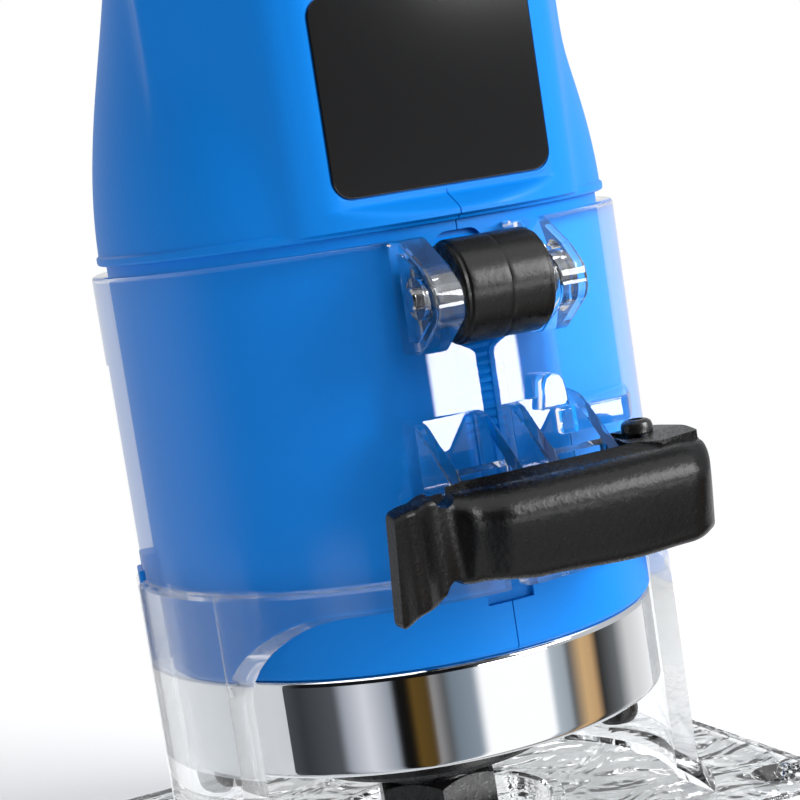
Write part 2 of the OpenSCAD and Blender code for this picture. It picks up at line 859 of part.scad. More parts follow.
// Ledges, screw posts, the upper bearing's web and the screw bosses
module housing_inside() {
    intersection() {
        union() {
            tube(skirt_in + eps, skirt_in - ledge, z_baffle + baffle_t, z_baffle + baffle_t + ledge_t);
            tube(skirt_in + eps, stator_r - 1.6, z_stator - ledge_t, z_stator);
            difference() {
                tube(skirt_r, up_bearing_r, z_web, z_up_top);
                for (a = [0 : 45 : 315]) at_angle(a + 22.5)
                    translate([0, -(up_bearing_r + 7), z_web - 1]) cylinder(r = air_hole_r, h = web_t + 2);
            }
            tube(up_bearing_r + 1, up_bearing_r - seat_lip, z_web, z_up_bearing);
            for (a = screw_angles) at_angle(a) translate([0, -nose_screw_pcd, z_ring_top])
                difference() {
                    cylinder(r = post_r, h = post_h);
                    translate([0, 0, -1]) cylinder(r = nose_screw_r, h = post_h);
                }
            case_screw_places() translate([0, 0, -far / 4]) cylinder(r = case_boss_r, h = far / 2);
        }
        housing_outer();
    }
}

module switch_cuts() {
    recess_w = slider_w + 2 * recess_gap;
    recess_h = slider_h + slider_travel + 2 * recess_gap;
    translate([-recess_w / 2, -far, z_slider - recess_gap])
        cube([recess_w, far - slider_y, recess_h]);
    translate([-stem_w / 2 - recess_gap, -far, z_slider + (slider_h - stem_h) / 2 - recess_gap])
        cube([stem_w + 2 * recess_gap, far - slider_y + 6, stem_h + slider_travel + 2 * recess_gap]);
}

module housing_cuts() {
    // the rating plate's recess in the flat face
    translate([-far / 2, -far - face_y, face_z0]) cube([far, far, z_panel + 20 - face_z0]);
    x_prism(-far / 2, far / 2, [
        [-far, face_z0 + eps],
        [-face_y, face_z0 + eps],
        [-shoulder_r - 1, z_shoulder + shoulder_t],
        [-far, z_shoulder + shoulder_t]
    ]);
    translate([0, -face_y + label_t, z_label]) rotate([90, 0, 0]) linear_extrude(height = 5)
        rounded_rect(
            -label_w / 2 - label_gap, label_w / 2 + label_gap,
            -label_gap, label_h + label_gap, label_r
        );
    // the recess for the rack
    translate([-rack_w / 2, -far, z_ring_top + 6])
        cube([rack_w, far - skirt_r + rack_depth, z_shoulder - z_ring_top - 7]);
    // brush holes
    x_cylinder(brush_cap_r + 0.05, -far / 2, far / 2, 0, z_brush);
    switch_cuts();
    for (side = [-1, 1], i = [0 : vents - 1])
        translate([0, 0, z_head - vent_drop - vent_h])
            at_angle(side * (vent_angle + i * vent_step))
                translate([-vent_w / 2, -far / 4, 0]) cube([vent_w, far / 4 - waist_r / 2, vent_h]);
    case_screw_places() {
        translate([0, 0, -case_sink]) cylinder(r = case_screw_r, h = case_sink + far / 4);
        translate([0, 0, case_sink]) cylinder(r = case_head_r + 0.2, h = far / 4);
    }
}

module housing_shell() {
    difference() {
        union() {
            difference() {
                housing_outer();
                housing_inner();
            }
            housing_inside();
        }
        housing_cuts();
    }
    intersection() {
        rack_teeth();
        housing_outer();
    }
}

module housing_half(side) {
    color([0.04, 0.45, 0.86]) intersection() {
        housing_shell();
        translate([side < 0 ? -far : 0, -far / 2, 0]) cube([far, far, 2 * far]);
    }
}

module housing_left() {
    housing_half(-1);
}

module housing_right() {
    housing_half(1);
}

module rating_plate() {
    color([0.06, 0.06, 0.06]) translate([0, -face_y + label_t, z_label]) rotate([90, 0, 0])
        linear_extrude(height = label_t)
            rounded_rect(-label_w / 2, label_w / 2, 0, label_h, label_r);
}

// ---------------------------------------------------------------- top

// Outline of the dome, from the housing's head up to the flat around the cord inlet
function dome_points(wall) = [
    for (i = [0 : steps])
        let (a = 90 * i / steps)
            [
                inlet_r + 2 - wall + (head_r - inlet_r - 2) * cos(a),
                z_head + (cap_h - inlet_h - wall) * sin(a)
            ]
];

module top_cap() {
    color([0.04, 0.45, 0.86]) difference() {
        rotate_extrude() polygon(concat([[0, z_head]], dome_points(0), [[0, z_cap - inlet_h]]));
        rotate_extrude() polygon(concat(
            [[0, z_head - 1], [head_r - cap_wall, z_head - 1]],
            dome_points(cap_wall),
            [[0, z_cap - inlet_h - cap_wall]]
        ));
        translate([0, 0, z_head]) cylinder(r = inlet_r - 1, h = far);
    }
}

module cord_inlet() {
    z_flange = z_cap - inlet_h;
    color([0.08, 0.08, 0.08]) difference() {
        union() {
            translate([0, 0, z_flange - cap_wall]) cylinder(r = inlet_r - 1, h = cap_wall + inlet_h);
            translate([0, 0, z_flange]) cylinder(r1 = inlet_r, r2 = inlet_r - 1, h = inlet_h);
        }
        translate([0, 0, z_flange - cap_wall - 1]) cylinder(r = inlet_bore_r, h = far);
    }
}

module switch_slider() {
    front = -slider_y - slider_gap - slider_out;
    pitch = slider_h / (slider_grooves + 3);
    color([0.08, 0.08, 0.08]) difference() {
        union() {
            translate([-slider_w / 2, front, z_slider])
                cube([slider_w, slider_out, slider_h]);
            translate([-stem_w / 2, -slider_y - slider_gap - eps, z_slider + (slider_h - stem_h) / 2])
                cube([stem_w, housing_wall + 2, stem_h]);
        }
        for (i = [0 : slider_grooves - 1])
            translate([-slider_w, front - slider_groove, z_slider + (i + 1.7) * pitch])
                cube([2 * slider_w, 2 * slider_groove, slider_groove]);
    }
}

module switch_body() {
    color([0.15, 0.15, 0.16]) translate([-switch_w / 2, housing_wall + 2.6 - slider_y, z_slider - 1])
        cube([switch_w, switch_t, switch_h]);
}

// ---------------------------------------------------------------- brushes

module both_sides() {
    for (side = [0, 1]) mirror([side, 0, 0]) children();
}

module brush_caps() {
    color([0.08, 0.08, 0.08]) both_sides() difference() {
        x_cylinder(brush_cap_r, holder_out, holder_out + brush_cap_t, 0, z_brush);
        translate([holder_out + brush_cap_t - 0.9, -far / 2, z_brush - 0.6]) cube([2, far, 1.2]);
    }
}

module brush_holders() {
    outer = brush_w + 2 * holder_t;
    color([0.72, 0.58, 0.3]) both_sides() difference() {
        // a square tube whose corners are turned down to pass through the brush hole
        intersection() {
            translate([commutator_r + 1.2, -outer / 2, z_brush - outer / 2])
                cube([holder_out - commutator_r - 1.2, outer, outer]);
            x_cylinder(brush_cap_r - 0.05, 0, far, 0, z_brush);
        }
        translate([0, -brush_w / 2 - brush_gap, z_brush - brush_w / 2 - brush_gap])
            cube([far / 4, brush_w + 2 * brush_gap, brush_w + 2 * brush_gap]);
    }
}

module carbon_brushes() {
    color([0.16, 0.16, 0.17]) both_sides() intersection() {
        translate([0, -brush_w / 2, z_brush - brush_w / 2])
            cube([commutator_r + 0.3 + brush_len, brush_w, brush_w]);
        tube(far / 4, commutator_r + 0.1, z_brush - brush_w, z_brush + brush_w);
    }
}

// Each spring is drawn closed, as a column with a ridge for every turn
module brush_springs() {
    x0 = commutator_r + 0.3 + brush_len;
    turns = 7;
    pitch = (holder_out - x0) / turns;
    color([0.7, 0.7, 0.72]) both_sides() translate([x0, 0, z_brush]) rotate([0, 90, 0])
        rotate_extrude() polygon(concat(
            [[0, 0]],
            [
                for (i = [0 : turns - 1]) for (k = [0, 1])
                    [spring_r - spring_wire * (1 - k), (i + k / 2) * pitch]
            ],
            [[spring_r - spring_wire, turns * pitch], [0, turns * pitch]]
        ));
}

// ---------------------------------------------------------------- nose

module nose_ring_solid() {
    c = ring_chamfer;
    wall_in = skirt_in - spigot_gap - spigot_t;
    rotate_extrude() polygon([
        [cover_bore_r, z_ring],
        [ring_r - c, z_ring],
        [ring_r, z_ring + c],
        [ring_r, z_ring_top - c],
        [ring_r - c, z_ring_top],
        [skirt_in - spigot_gap, z_ring_top],
        [skirt_in - spigot_gap, z_ring_top + spigot_h],
        [wall_in, z_ring_top + spigot_h],
        [wall_in, z_low_bearing],
        [low_bearing_r + hub_wall, z_low_bearing],
        [low_bearing_r + hub_wall, z_low_top],
        [low_bearing_r, z_low_top],
        [low_bearing_r, z_low_bearing],
        [cover_bore_r, z_low_bearing]
    ]);
    // the posts that the nose screws pass through
    for (a = screw_angles) at_angle(a) translate([0, -nose_screw_pcd, z_ring + 1])
        cylinder(r = post_r, h = ring_h - 2);
}

module nose_ring() {
    color([0.8, 0.81, 0.83]) difference() {
        nose_ring_solid();
        // air outlets through the plate
        for (a = [0 : 40 : 320]) at_angle(a + air_angle) translate([0, -air_circle_r, 0])
            cylinder(r = air_hole_r, h = far);
        for (a = screw_angles) at_angle(a) translate([0, -nose_screw_pcd, 0]) {
            cylinder(r = nose_screw_r + 0.1, h = far);
            // room in the spigot for the housing's post
            translate([0, 0, z_ring_top]) cylinder(r = post_r + 0.2, h = far);
        }
    }
}

module bearing_cover() {
    c = 0.6;
    color([0.08, 0.08, 0.08]) rotate_extrude() polygon([
        [cover_bore_r, z_ring - cover_h],
        [cover_r - c, z_ring - cover_h],
        [cover_r, z_ring - cover_h + c],
        [cover_r, z_ring],
        [cover_bore_r, z_ring]
    ]);
}

module nose_screws() {
    color([0.12, 0.12, 0.12]) for (a = screw_angles) at_angle(a)
        translate([0, -nose_screw_pcd, z_ring - nose_head_h]) difference() {
            union() {
                cylinder(r = nose_head_r, h = nose_head_h);
                cylinder(r = nose_screw_r, h = nose_head_h + ring_h + post_h - 2);
            }
            translate([0, 0, -eps]) cylinder(r = nose_screw_r, h = nose_head_h / 2, $fn = 6);
        }
}

module case_screws() {
    color([0.2, 0.2, 0.2]) case_screw_places() {
        translate([0, 0, -case_sink + 2]) cylinder(r = case_screw_r, h = 2 * case_sink - 2);
        translate([0, 0, case_sink]) cylinder(r = case_head_r, h = case_head_h);
    }
}

// ---------------------------------------------------------------- motor inside

module fan_baffle() {
    color([0.1, 0.1, 0.1]) tube(skirt_in - 0.2, fan_hub_r + 8, z_baffle, z_baffle + baffle_t);
}

module stator_core() {
    color([0.4, 0.41, 0.43]) difference() {
        tube(stator_r, stator_bore_r, z_stator, z_stator_top);
        // winding windows each side of the two poles
        for (a = [45, 135, 225, 315]) at_angle(a) translate([0, -stator_bore_r - 3, z_stator - 1])
            cylinder(r = 4.4, h = stator_h + 2);
    }
}

module field_coils() {
    color([0.66, 0.32, 0.12]) for (side = [0, 1]) mirror([0, side, 0]) difference() {
        union() {
            for (z = [z_stator - coil_h, z_stator_top]) intersection() {
                tube(stator_r - 3, stator_bore_r + 0.5, z, z + coil_h);
                translate([-far / 2, stator_bore_r / 2, 0]) cube([far, far, far]);
            }
            for (a = [135, 225]) at_angle(a) translate([0, -stator_bore_r - 3, z_stator - 1])
                cylinder(r = 3.6, h = stator_h + 2);
        }
        cylinder(r = stator_bore_r + 0.4, h = far);
    }
}

module ball_bearing_part(part, r_out, r_in, z0, w, balls) {
    mid_r = (r_out + r_in) / 2;
    ball_r = min(0.29 * (r_out - r_in), 0.42 * w);
    race_r_in = mid_r - 0.5 * ball_r;
    race_r_out = mid_r + 0.5 * ball_r;
    groove_r = ball_r + ball_gap;
    translate([0, 0, z0]) {
        if (part == "outer") difference() {
            tube(r_out, race_r_out, 0, w);
            translate([0, 0, w / 2]) rotate_extrude() translate([mid_r, 0]) circle(r = groove_r, $fn = 32);
        }
        if (part == "inner") difference() {
            tube(race_r_in, r_in, 0, w);
            translate([0, 0, w / 2]) rotate_extrude() translate([mid_r, 0]) circle(r = groove_r, $fn = 32);
        }
        if (part == "balls") for (i = [0 : balls - 1])
            rotate([0, 0, 360 * i / balls]) translate([mid_r, 0, w / 2]) sphere(r = ball_r, $fn = 32);
    }
}

module lower_bearing(part) {
    color([0.78, 0.78, 0.8])
        ball_bearing_part(part, low_bearing_r, journal_r, z_low_bearing, low_bearing_w, low_balls);
}

module upper_bearing(part) {
    color([0.78, 0.78, 0.8])
        ball_bearing_part(part, up_bearing_r, tail_r, z_up_bearing, up_bearing_w, up_balls);
}

module lower_bearing_outer() {
    lower_bearing("outer");
}

module lower_bearing_balls() {
    lower_bearing("balls");
}

module lower_bearing_inner() {
    lower_bearing("inner");
}

module upper_bearing_outer() {
    upper_bearing("outer");
}

module upper_bearing_balls() {
    upper_bearing("balls");
}

module upper_bearing_inner() {
    upper_bearing("inner");
}

// ---------------------------------------------------------------- rotor

module spindle() {
    color([0.7, 0.7, 0.72]) rotate_extrude() polygon([
        [spindle_bore_r, z_thread],
        [thread_r, z_thread],
        [thread_r, z_low_bearing - collar_h],
        [journal_r + 1, z_low_bearing - collar_h],
        [journal_r + 1, z_low_bearing],
        [journal_r, z_low_bearing],
        [journal_r, z_low_top],
        [shaft_r, z_low_top],
        [shaft_r, z_up_bearing],
        [tail_r, z_up_bearing],
        [tail_r, z_up_top + 1],
        [0, z_up_top + 1],
        [0, z_collet_top + 0.5],
        [spindle_bore_r, z_collet_top + 0.5]
    ]);
}

module slinger() {
    rib = 0.9;
    color([0.06, 0.06, 0.06]) difference() {
        tube(slinger_r, thread_r, z_slinger, z_slinger_top);
        for (i = [0, 1]) translate([0, 0, z_slinger + rib * (1 + 2 * i)])
            tube(slinger_r + 1, slinger_r - 0.7, 0, rib);
    }
}

module fan() {
    color([0.12, 0.12, 0.13]) {
        tube(fan_hub_r, shaft_r, z_fan, z_fan + fan_h);
        tube(fan_r, shaft_r + 1, z_fan + fan_h - fan_disc_t, z_fan + fan_h);
        for (i = [0 : fan_blades - 1]) at_angle(360 * i / fan_blades)
            translate([-blade_t / 2, -fan_r + 0.6, z_fan])
                cube([blade_t, fan_r - fan_hub_r, fan_h - fan_disc_t / 2]);
    }
}

module armature_core() {
    color([0.42, 0.43, 0.45]) difference() {
        tube(armature_r, shaft_r, z_stator, z_stator_top);
        for (i = [0 : armature_slots - 1]) at_angle(360 * i / armature_slots)
            translate([-slot_w / 2, -armature_r - 1, z_stator - 1])
                cube([slot_w, slot_d + 1, stator_h + 2]);
    }
}

module armature_coils() {
    end_h = coil_h - 1;
    color([0.7, 0.35, 0.13]) {
        tube(wind_r, shaft_r, z_stator - end_h, z_stator);
        tube(wind_r, shaft_r, z_stator_top, z_stator_top + end_h);
    }
}

module commutator() {
    color([0.75, 0.45, 0.2]) difference() {
        tube(commutator_r, shaft_r, z_commutator, z_commutator + commutator_h);
        for (i = [0 : segments - 1]) at_angle(360 * i / segments)
            translate([-segment_gap / 2, -commutator_r - 1, z_commutator - 1])
                cube([segment_gap, 1.6, commutator_h + 2]);
    }
}

module collet() {
    color([0.72, 0.72, 0.74]) difference() {
        union() {
            translate([0, 0, z_nut + nut_floor])
                cylinder(r = spindle_bore_r - collet_gap, h = z_collet_top - z_nut - nut_floor);
            translate([0, 0, z_collet]) cylinder(r = nut_mouth_r - collet_gap, h = nut_floor);
        }
        translate([0, 0, z_collet - 1]) cylinder(r = collet_bore_r, h = far);
        for (a = [0, 90]) at_angle(a)
            translate([-collet_slit / 2, -far / 2, z_collet + collet_slit_z])
                cube([collet_slit, far, collet_slit_h]);
    }
}

module collet_nut() {
    color([0.09, 0.09, 0.09]) difference() {
        intersection() {
            translate([0, 0, z_nut]) rotate([0, 0, nut_angle]) hexagon(nut_af, nut_h);
            translate([0, 0, z_nut]) cylinder(r1 = nut_af / 2 + nut_h, r2 = nut_af / 2, h = nut_h + eps);
        }
        translate([0, 0, z_nut - 1]) cylinder(r = nut_mouth_r, h = far);
        translate([0, 0, z_nut + nut_floor]) cylinder(r = thread_r + thread_gap, h = far);
    }
}

base();
roller();
roller_axle();
tension_bolt();
clamp_nut();
pivot_screw();
clamp_lever();
housing_left();
housing_right();
rating_plate();
top_cap();
cord_inlet();
switch_slider();
switch_body();
brush_caps();
brush_holders();
carbon_brushes();
brush_springs();
nose_ring();
bearing_cover();
nose_screws();
case_screws();
fan_baffle();
stator_core();
field_coils();
lower_bearing_outer();
lower_bearing_balls();
lower_bearing_inner();
upper_bearing_outer();
upper_bearing_balls();
upper_bearing_inner();
spindle();
slinger();
fan();
armature_core();
armature_coils();
commutator();
collet();
collet_nut();
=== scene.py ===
"""Trim router dressed for rendering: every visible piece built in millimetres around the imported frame."""

import logging
import math
from dataclasses import dataclass
from enum import Enum

import bmesh
import bpy
from mathutils import Matrix, Vector


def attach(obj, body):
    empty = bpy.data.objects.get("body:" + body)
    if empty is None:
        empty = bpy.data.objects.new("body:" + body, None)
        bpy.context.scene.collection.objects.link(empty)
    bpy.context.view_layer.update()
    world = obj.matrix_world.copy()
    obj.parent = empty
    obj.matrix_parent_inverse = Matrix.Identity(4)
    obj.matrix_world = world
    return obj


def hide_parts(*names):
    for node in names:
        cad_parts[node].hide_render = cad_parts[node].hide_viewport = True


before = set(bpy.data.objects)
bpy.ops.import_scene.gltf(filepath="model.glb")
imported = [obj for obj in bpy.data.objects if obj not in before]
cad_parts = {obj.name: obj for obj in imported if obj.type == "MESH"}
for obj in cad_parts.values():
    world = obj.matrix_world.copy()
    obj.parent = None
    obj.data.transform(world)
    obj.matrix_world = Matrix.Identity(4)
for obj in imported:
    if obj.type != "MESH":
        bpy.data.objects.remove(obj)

LOG = logging.getLogger("trim_router")
MM = 0.001
FINE = 256  # segments round a large turned or moulded wall
SMALL = 64  # segments round a screw or a hole
FAR = 200.0  # longer than any piece, for tools that cut right through
KEY_DEG = -104.0  # where the motor's key and its slot in the sleeve are, from the front
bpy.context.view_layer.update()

Point2 = tuple[float, float]
Point3 = tuple[float, float, float]
Colour = tuple[float, float, float, float]
Value = float | bpy.types.NodeSocket
Opening = tuple[float, float, float, float, float]  # half width, lower end, upper end, lower radius, upper radius


class Combine(Enum):
    """How one solid acts on another."""

    UNION = "UNION"
    CUT = "DIFFERENCE"
    COMMON = "INTERSECT"


class Axis(Enum):
    """The axis that a solid is turned or extruded along."""

    X = "X"
    Y = "Y"
    Z = "Z"


# ------------------------------------------------------------------ solids


def new_object(name: str, bm: bmesh.types.BMesh) -> bpy.types.Object:
    """Makes a linked object from a bmesh and frees the bmesh.

    Args:
        name: Name of the object and its mesh.
        bm: The faces, in millimetres.

    Returns:
        The new object.
    """
    bmesh.ops.recalc_face_normals(bm, faces=bm.faces)
    mesh = bpy.data.meshes.new(name)
    bm.to_mesh(mesh)
    bm.free()
    obj = bpy.data.objects.new(name, mesh)
    bpy.context.scene.collection.objects.link(obj)
    return obj


def turn_to(axis: Axis) -> Matrix:
    """Returns the rotation that takes a solid built along Z to lie along the axis."""
    if axis is Axis.X:
        return Matrix(((0, 0, 1, 0), (1, 0, 0, 0), (0, 1, 0, 0), (0, 0, 0, 1)))
    if axis is Axis.Y:
        return Matrix(((1, 0, 0, 0), (0, 0, 1, 0), (0, 1, 0, 0), (0, 0, 0, 1)))
    return Matrix.Identity(4)


def turned(
    name: str, profile: list[Point2], axis: Axis = Axis.Z, at: Point3 = (0, 0, 0), segments: int = FINE
) -> bpy.types.Object:
    """Turns a closed profile about an axis.

    Args:
        name: Name of the object.
        profile: Radius and height of each corner, with radius 0 where it meets the axis.
        axis: The axis to turn about.
        at: Where the profile's origin goes.
        segments: Number of flats round the solid.

    Returns:
        A closed solid.
    """
    bm = bmesh.new()
    rings = []
    for r, z in profile:
        count = segments if r > 1e-6 else 1
        turns = [2 * math.pi * i / segments for i in range(count)]
        rings.append([bm.verts.new((r * math.sin(t), -r * math.cos(t), z)) for t in turns])
    for a, b in zip(rings, rings[1:] + rings[:1]):
        if len(a) == 1 and len(b) == 1:
            continue
        for i in range(segments):
            j = (i + 1) % segments
            corners = [a[i % len(a)], a[j % len(a)], b[j % len(b)], b[i % len(b)]]
            unique = list(dict.fromkeys(corners))
            if len(unique) > 2:
                bm.faces.new(unique)
    bmesh.ops.transform(bm, matrix=Matrix.Translation(at) @ turn_to(axis), verts=bm.verts)
    return new_object(name, bm)


def rounded(points: list[Point3], steps: int = 6) -> list[Point2]:
    """Rounds the corners of an outline.

    Args:
        points: Each corner's two coordinates and its radius.
        steps: Segments in each rounded corner.

    Returns:
        The outline with an arc at each corner.
    """
    out: list[Point2] = []
    for i, (x, y, r) in enumerate(points):
        here = Vector((x, y))
        if r <= 0:
            out.append((x, y))
            continue
        to_a = (Vector(points[i - 1][:2]) - here).normalized()
        to_b = (Vector(points[(i + 1) % len(points)][:2]) - here).normalized()
        half = to_a.angle(to_b) / 2
        middle = here + (to_a + to_b).normalized() * (r / math.sin(half))
        start = here + to_a * (r / math.tan(half)) - middle
        end = here + to_b * (r / math.tan(half)) - middle
        sweep = start.angle_signed(end)
        for k in range(steps + 1):
            turn = -sweep * k / steps
            cos_t, sin_t = math.cos(turn), math.sin(turn)
            out.append(
                (middle.x + start.x * cos_t - start.y * sin_t, middle.y + start.x * sin_t + start.y * cos_t)
            )
    return out


def upright(
    half: float, low: float, high: float, low_r: float, high_r: float, steps: int = 6
) -> list[Point2]:
    """Returns a rectangle on the middle line with rounded corners.

    Args:
        half: Half its width.
        low: Where it starts on the second coordinate.
        high: Where it ends.
        low_r: Radius of the two corners at the start.
        high_r: Radius of the two corners at the end.
        steps: Segments in each rounded corner.

    Returns:
        The outline.
    """
    corners = [(-half, low, low_r), (half, low, low_r), (half, high, high_r), (-half, high, high_r)]
    return rounded(corners, steps)


def prism(
    name: str, outline: list[Point2], low: float, high: float, axis: Axis = Axis.Z, edge: float = 0.0
) -> bpy.types.Object:
    """Extrudes an outline, and rounds the rims of its two ends.

    Args:
        name: Name of the object.
        outline: (x, y) along Z, (y, z) along X, or (x, z) along Y.
        low: Where the solid starts on the axis.
        high: Where it ends.
        axis: The axis to extrude along.
        edge: Radius of the rims.

    Returns:
        A closed solid.
    """
    bm = bmesh.new()
    verts = [bm.verts.new((u, v, low)) for u, v in outline]
    bottom = bm.faces.new(verts)
    top = bmesh.ops.extrude_face_region(bm, geom=[bottom])["geom"]
    bmesh.ops.translate(bm, verts=[g for g in top if isinstance(g, bmesh.types.BMVert)], vec=(0, 0, high - low))
    if not any(f is bottom for f in bm.faces):
        bm.faces.new(verts)
    if edge > 0:
        rims = [e for e in bm.edges if abs(e.verts[0].co.z - e.verts[1].co.z) < 1e-7]
        bmesh.ops.bevel(bm, geom=rims, offset=edge, segments=3, profile=0.5, affect="EDGES", clamp_overlap=True)
    bmesh.ops.transform(bm, matrix=turn_to(axis), verts=bm.verts)
    return new_object(name, bm)


def smooth_between(stations: tuple[Point2, ...], x: float) -> float:
    """Returns a value at x between stations, with a level tangent at each one.

    Args:
        stations: Place and value of each station, in rising order.
        x: Where the value is wanted.

    Returns:
        The value.
    """
    if x <= stations[0][0]:
        return stations[0][1]
    for (x0, v0), (x1, v1) in zip(stations, stations[1:]):
        if x <= x1:
            t = (x - x0) / (x1 - x0)
            return v0 + (v1 - v0) * t * t * (3 - 2 * t)
    return stations[-1][1]


def rod(r: float, low: float, high: float, axis: Axis, at: Point3, segments: int = SMALL) -> bpy.types.Object:
    """Returns a plain round tool, for holes and bosses."""
    return turned("tool", [(0, low), (r, low), (r, high), (0, high)], axis, at, segments)


def block(low: Point3, high: Point3) -> bpy.types.Object:
    """Returns a plain box tool between two corners."""
    corners = [(low[0], low[1]), (high[0], low[1]), (high[0], high[1]), (low[0], high[1])]
    return prism("tool", corners, low[2], high[2])


def combine(target: bpy.types.Object, how: Combine, *tools: bpy.types.Object) -> bpy.types.Object:
    """Applies each tool to a solid in turn, and removes the tools.

    Args:
        target: The solid that is kept.
        how: What each tool does to it.
        tools: The solids that act on it.

    Returns:
        The changed target.
    """
    for tool in tools:
        modifier = target.modifiers.new("combine", "BOOLEAN")
        modifier.operation = how.value
        modifier.solver = "MANIFOLD"
        modifier.object = tool
        bpy.context.view_layer.update()
        graph = bpy.context.evaluated_depsgraph_get()
        mesh = bpy.data.meshes.new_from_object(target.evaluated_get(graph))
        if not mesh.polygons:
            LOG.warning("%s came out empty", target.name)
        target.modifiers.remove(modifier)
        old = target.data
        target.data = mesh
        bpy.data.meshes.remove(old)
        bpy.data.meshes.remove(tool.data)
    return target


def carve(target: bpy.types.Object, *tools: bpy.types.Object) -> bpy.types.Object:
    """Cuts each tool out of a solid and returns the solid."""
    return combine(target, Combine.CUT, *tools)


def unite(target: bpy.types.Object, *tools: bpy.types.Object) -> bpy.types.Object:
    """Adds each tool to a solid and returns the solid."""
    return combine(target, Combine.UNION, *tools)


def shift(obj: bpy.types.Object, by: Point3) -> bpy.types.Object:
    """Moves a solid's mesh and returns the solid."""
    obj.data.transform(Matrix.Translation(by))
    return obj


def spin(obj: bpy.types.Object, degrees: float) -> bpy.types.Object:
    """Turns a solid's mesh about the Z axis and returns the solid."""
    obj.data.transform(Matrix.Rotation(math.radians(degrees), 4, "Z"))
    return obj


def as_piece(obj: bpy.types.Object, name: str, smooth_deg: float = 28.0, even: bool = True) -> bpy.types.Object:
    """Turns a solid in millimetres into a finished mesh in metres, smooth apart from its edges.

    Args:
        obj: The solid.
        name: Name of the finished piece.
        smooth_deg: Edges sharper than this stay sharp.
        even: True where large flat faces must shine as flat up to their rounded edges.

    Returns:
        The same object.
    """
    obj.name = name
    mesh = obj.data
    mesh.name = name
    bm = bmesh.new()
    bm.from_mesh(mesh)
    bmesh.ops.remove_doubles(bm, verts=bm.verts, dist=1e-4)
    bmesh.ops.scale(bm, vec=(MM, MM, MM), verts=bm.verts)
    bm.to_mesh(mesh)
    bm.free()
    mesh.shade_smooth()
    mesh.set_sharp_from_angle(angle=math.radians(smooth_deg))
    if even:
        weigh = obj.modifiers.new("even faces", "WEIGHTED_NORMAL")
        weigh.keep_sharp = True
        bpy.context.view_layer.update()
        graph = bpy.context.evaluated_depsgraph_get()
        obj.data = bpy.data.meshes.new_from_object(obj.evaluated_get(graph), depsgraph=graph)
        obj.modifiers.clear()
        bpy.data.meshes.remove(mesh)
        obj.data.name = name
    return obj


# ------------------------------------------------------------------ materials


def linear(code: str) -> Colour:
    """Turns an sRGB hex colour into linear light, with full alpha."""
    parts = [int(code[i : i + 2], 16) / 255 for i in (1, 3, 5)]
    red, green, blue = [c / 12.92 if c <= 0.04045 else ((c + 0.055) / 1.055) ** 2.4 for c in parts]
    return (red, green, blue, 1.0)


def add_node(tree: bpy.types.NodeTree, kind: str, inputs: dict | None = None, **settings: str) -> bpy.types.Node:
    """Adds a node with its settings, values and links.

    Args:
        tree: The node tree.
        kind: The node's type.
        inputs: Values or output sockets by input name or number.
        settings: The node's own properties.

    Returns:
        The new node.
    """
    node = tree.nodes.new(kind)
    for key, value in settings.items():
        setattr(node, key, value)
    for key, value in (inputs or {}).items():
        if isinstance(value, bpy.types.NodeSocket):
            tree.links.new(value, node.inputs[key])
        else:
            node.inputs[key].default_value = value
    return node


def empty_material(name: str) -> tuple[bpy.types.Material, bpy.types.NodeTree]:
    """Makes a material with no nodes in it."""
    material = bpy.data.materials.new(name)
    material.use_nodes = True
    material.node_tree.nodes.clear()
    return material, material.node_tree


def blend_colours(
    tree: bpy.types.NodeTree, factor: Value, a: Colour | bpy.types.NodeSocket, b: Colour | bpy.types.NodeSocket
) -> bpy.types.NodeSocket:
    """Mixes two colours or colour sockets by a factor and returns the result socket."""
    return add_node(tree, "ShaderNodeMix", {0: factor, 6: a, 7: b}, data_type="RGBA").outputs[2]


def remap(tree: bpy.types.NodeTree, value: bpy.types.NodeSocket, low: float, high: float) -> bpy.types.NodeSocket:
    """Takes a 0 to 1 pattern to a range and returns the result socket."""
    return add_node(tree, "ShaderNodeMapRange", {"Value": value, "To Min": low, "To Max": high}).outputs[0]


def ramp_up(tree: bpy.types.NodeTree, value: bpy.types.NodeSocket, start: float, end: float) -> bpy.types.NodeSocket:
    """Returns 0 to 1 in a straight line as a value goes from start to end."""
    return add_node(tree, "ShaderNodeMapRange", {"Value": value, "From Min": start, "From Max": end}).outputs[0]


def ease(tree: bpy.types.NodeTree, value: bpy.types.NodeSocket, start: float, end: float) -> bpy.types.NodeSocket:
    """Returns 0 to 1, soft at both ends, as a value goes from start to end."""
    values = {"Value": value, "From Min": start, "From Max": end}
    return add_node(tree, "ShaderNodeMapRange", values, interpolation_type="SMOOTHSTEP").outputs[0]


def maths(tree: bpy.types.NodeTree, operation: str, a: Value, b: Value) -> bpy.types.NodeSocket:
    """Works out one step of arithmetic on numbers or sockets and returns the result socket."""
    return add_node(tree, "ShaderNodeMath", {0: a, 1: b}, operation=operation).outputs[0]


def noise(tree: bpy.types.NodeTree, place: bpy.types.NodeSocket, size: float, **values: float) -> bpy.types.NodeSocket:
    """Returns a 0 to 1 noise pattern.

    Args:
        tree: The node tree.
        place: Where the pattern is read.
        size: Size of its features in metres.
        values: The noise's other inputs by name.

    Returns:
        The pattern's socket.
    """
    inputs = {"Vector": place, "Scale": 1 / size} | {key.capitalize(): value for key, value in values.items()}
    return add_node(tree, "ShaderNodeTexNoise", inputs).outputs["Fac"]


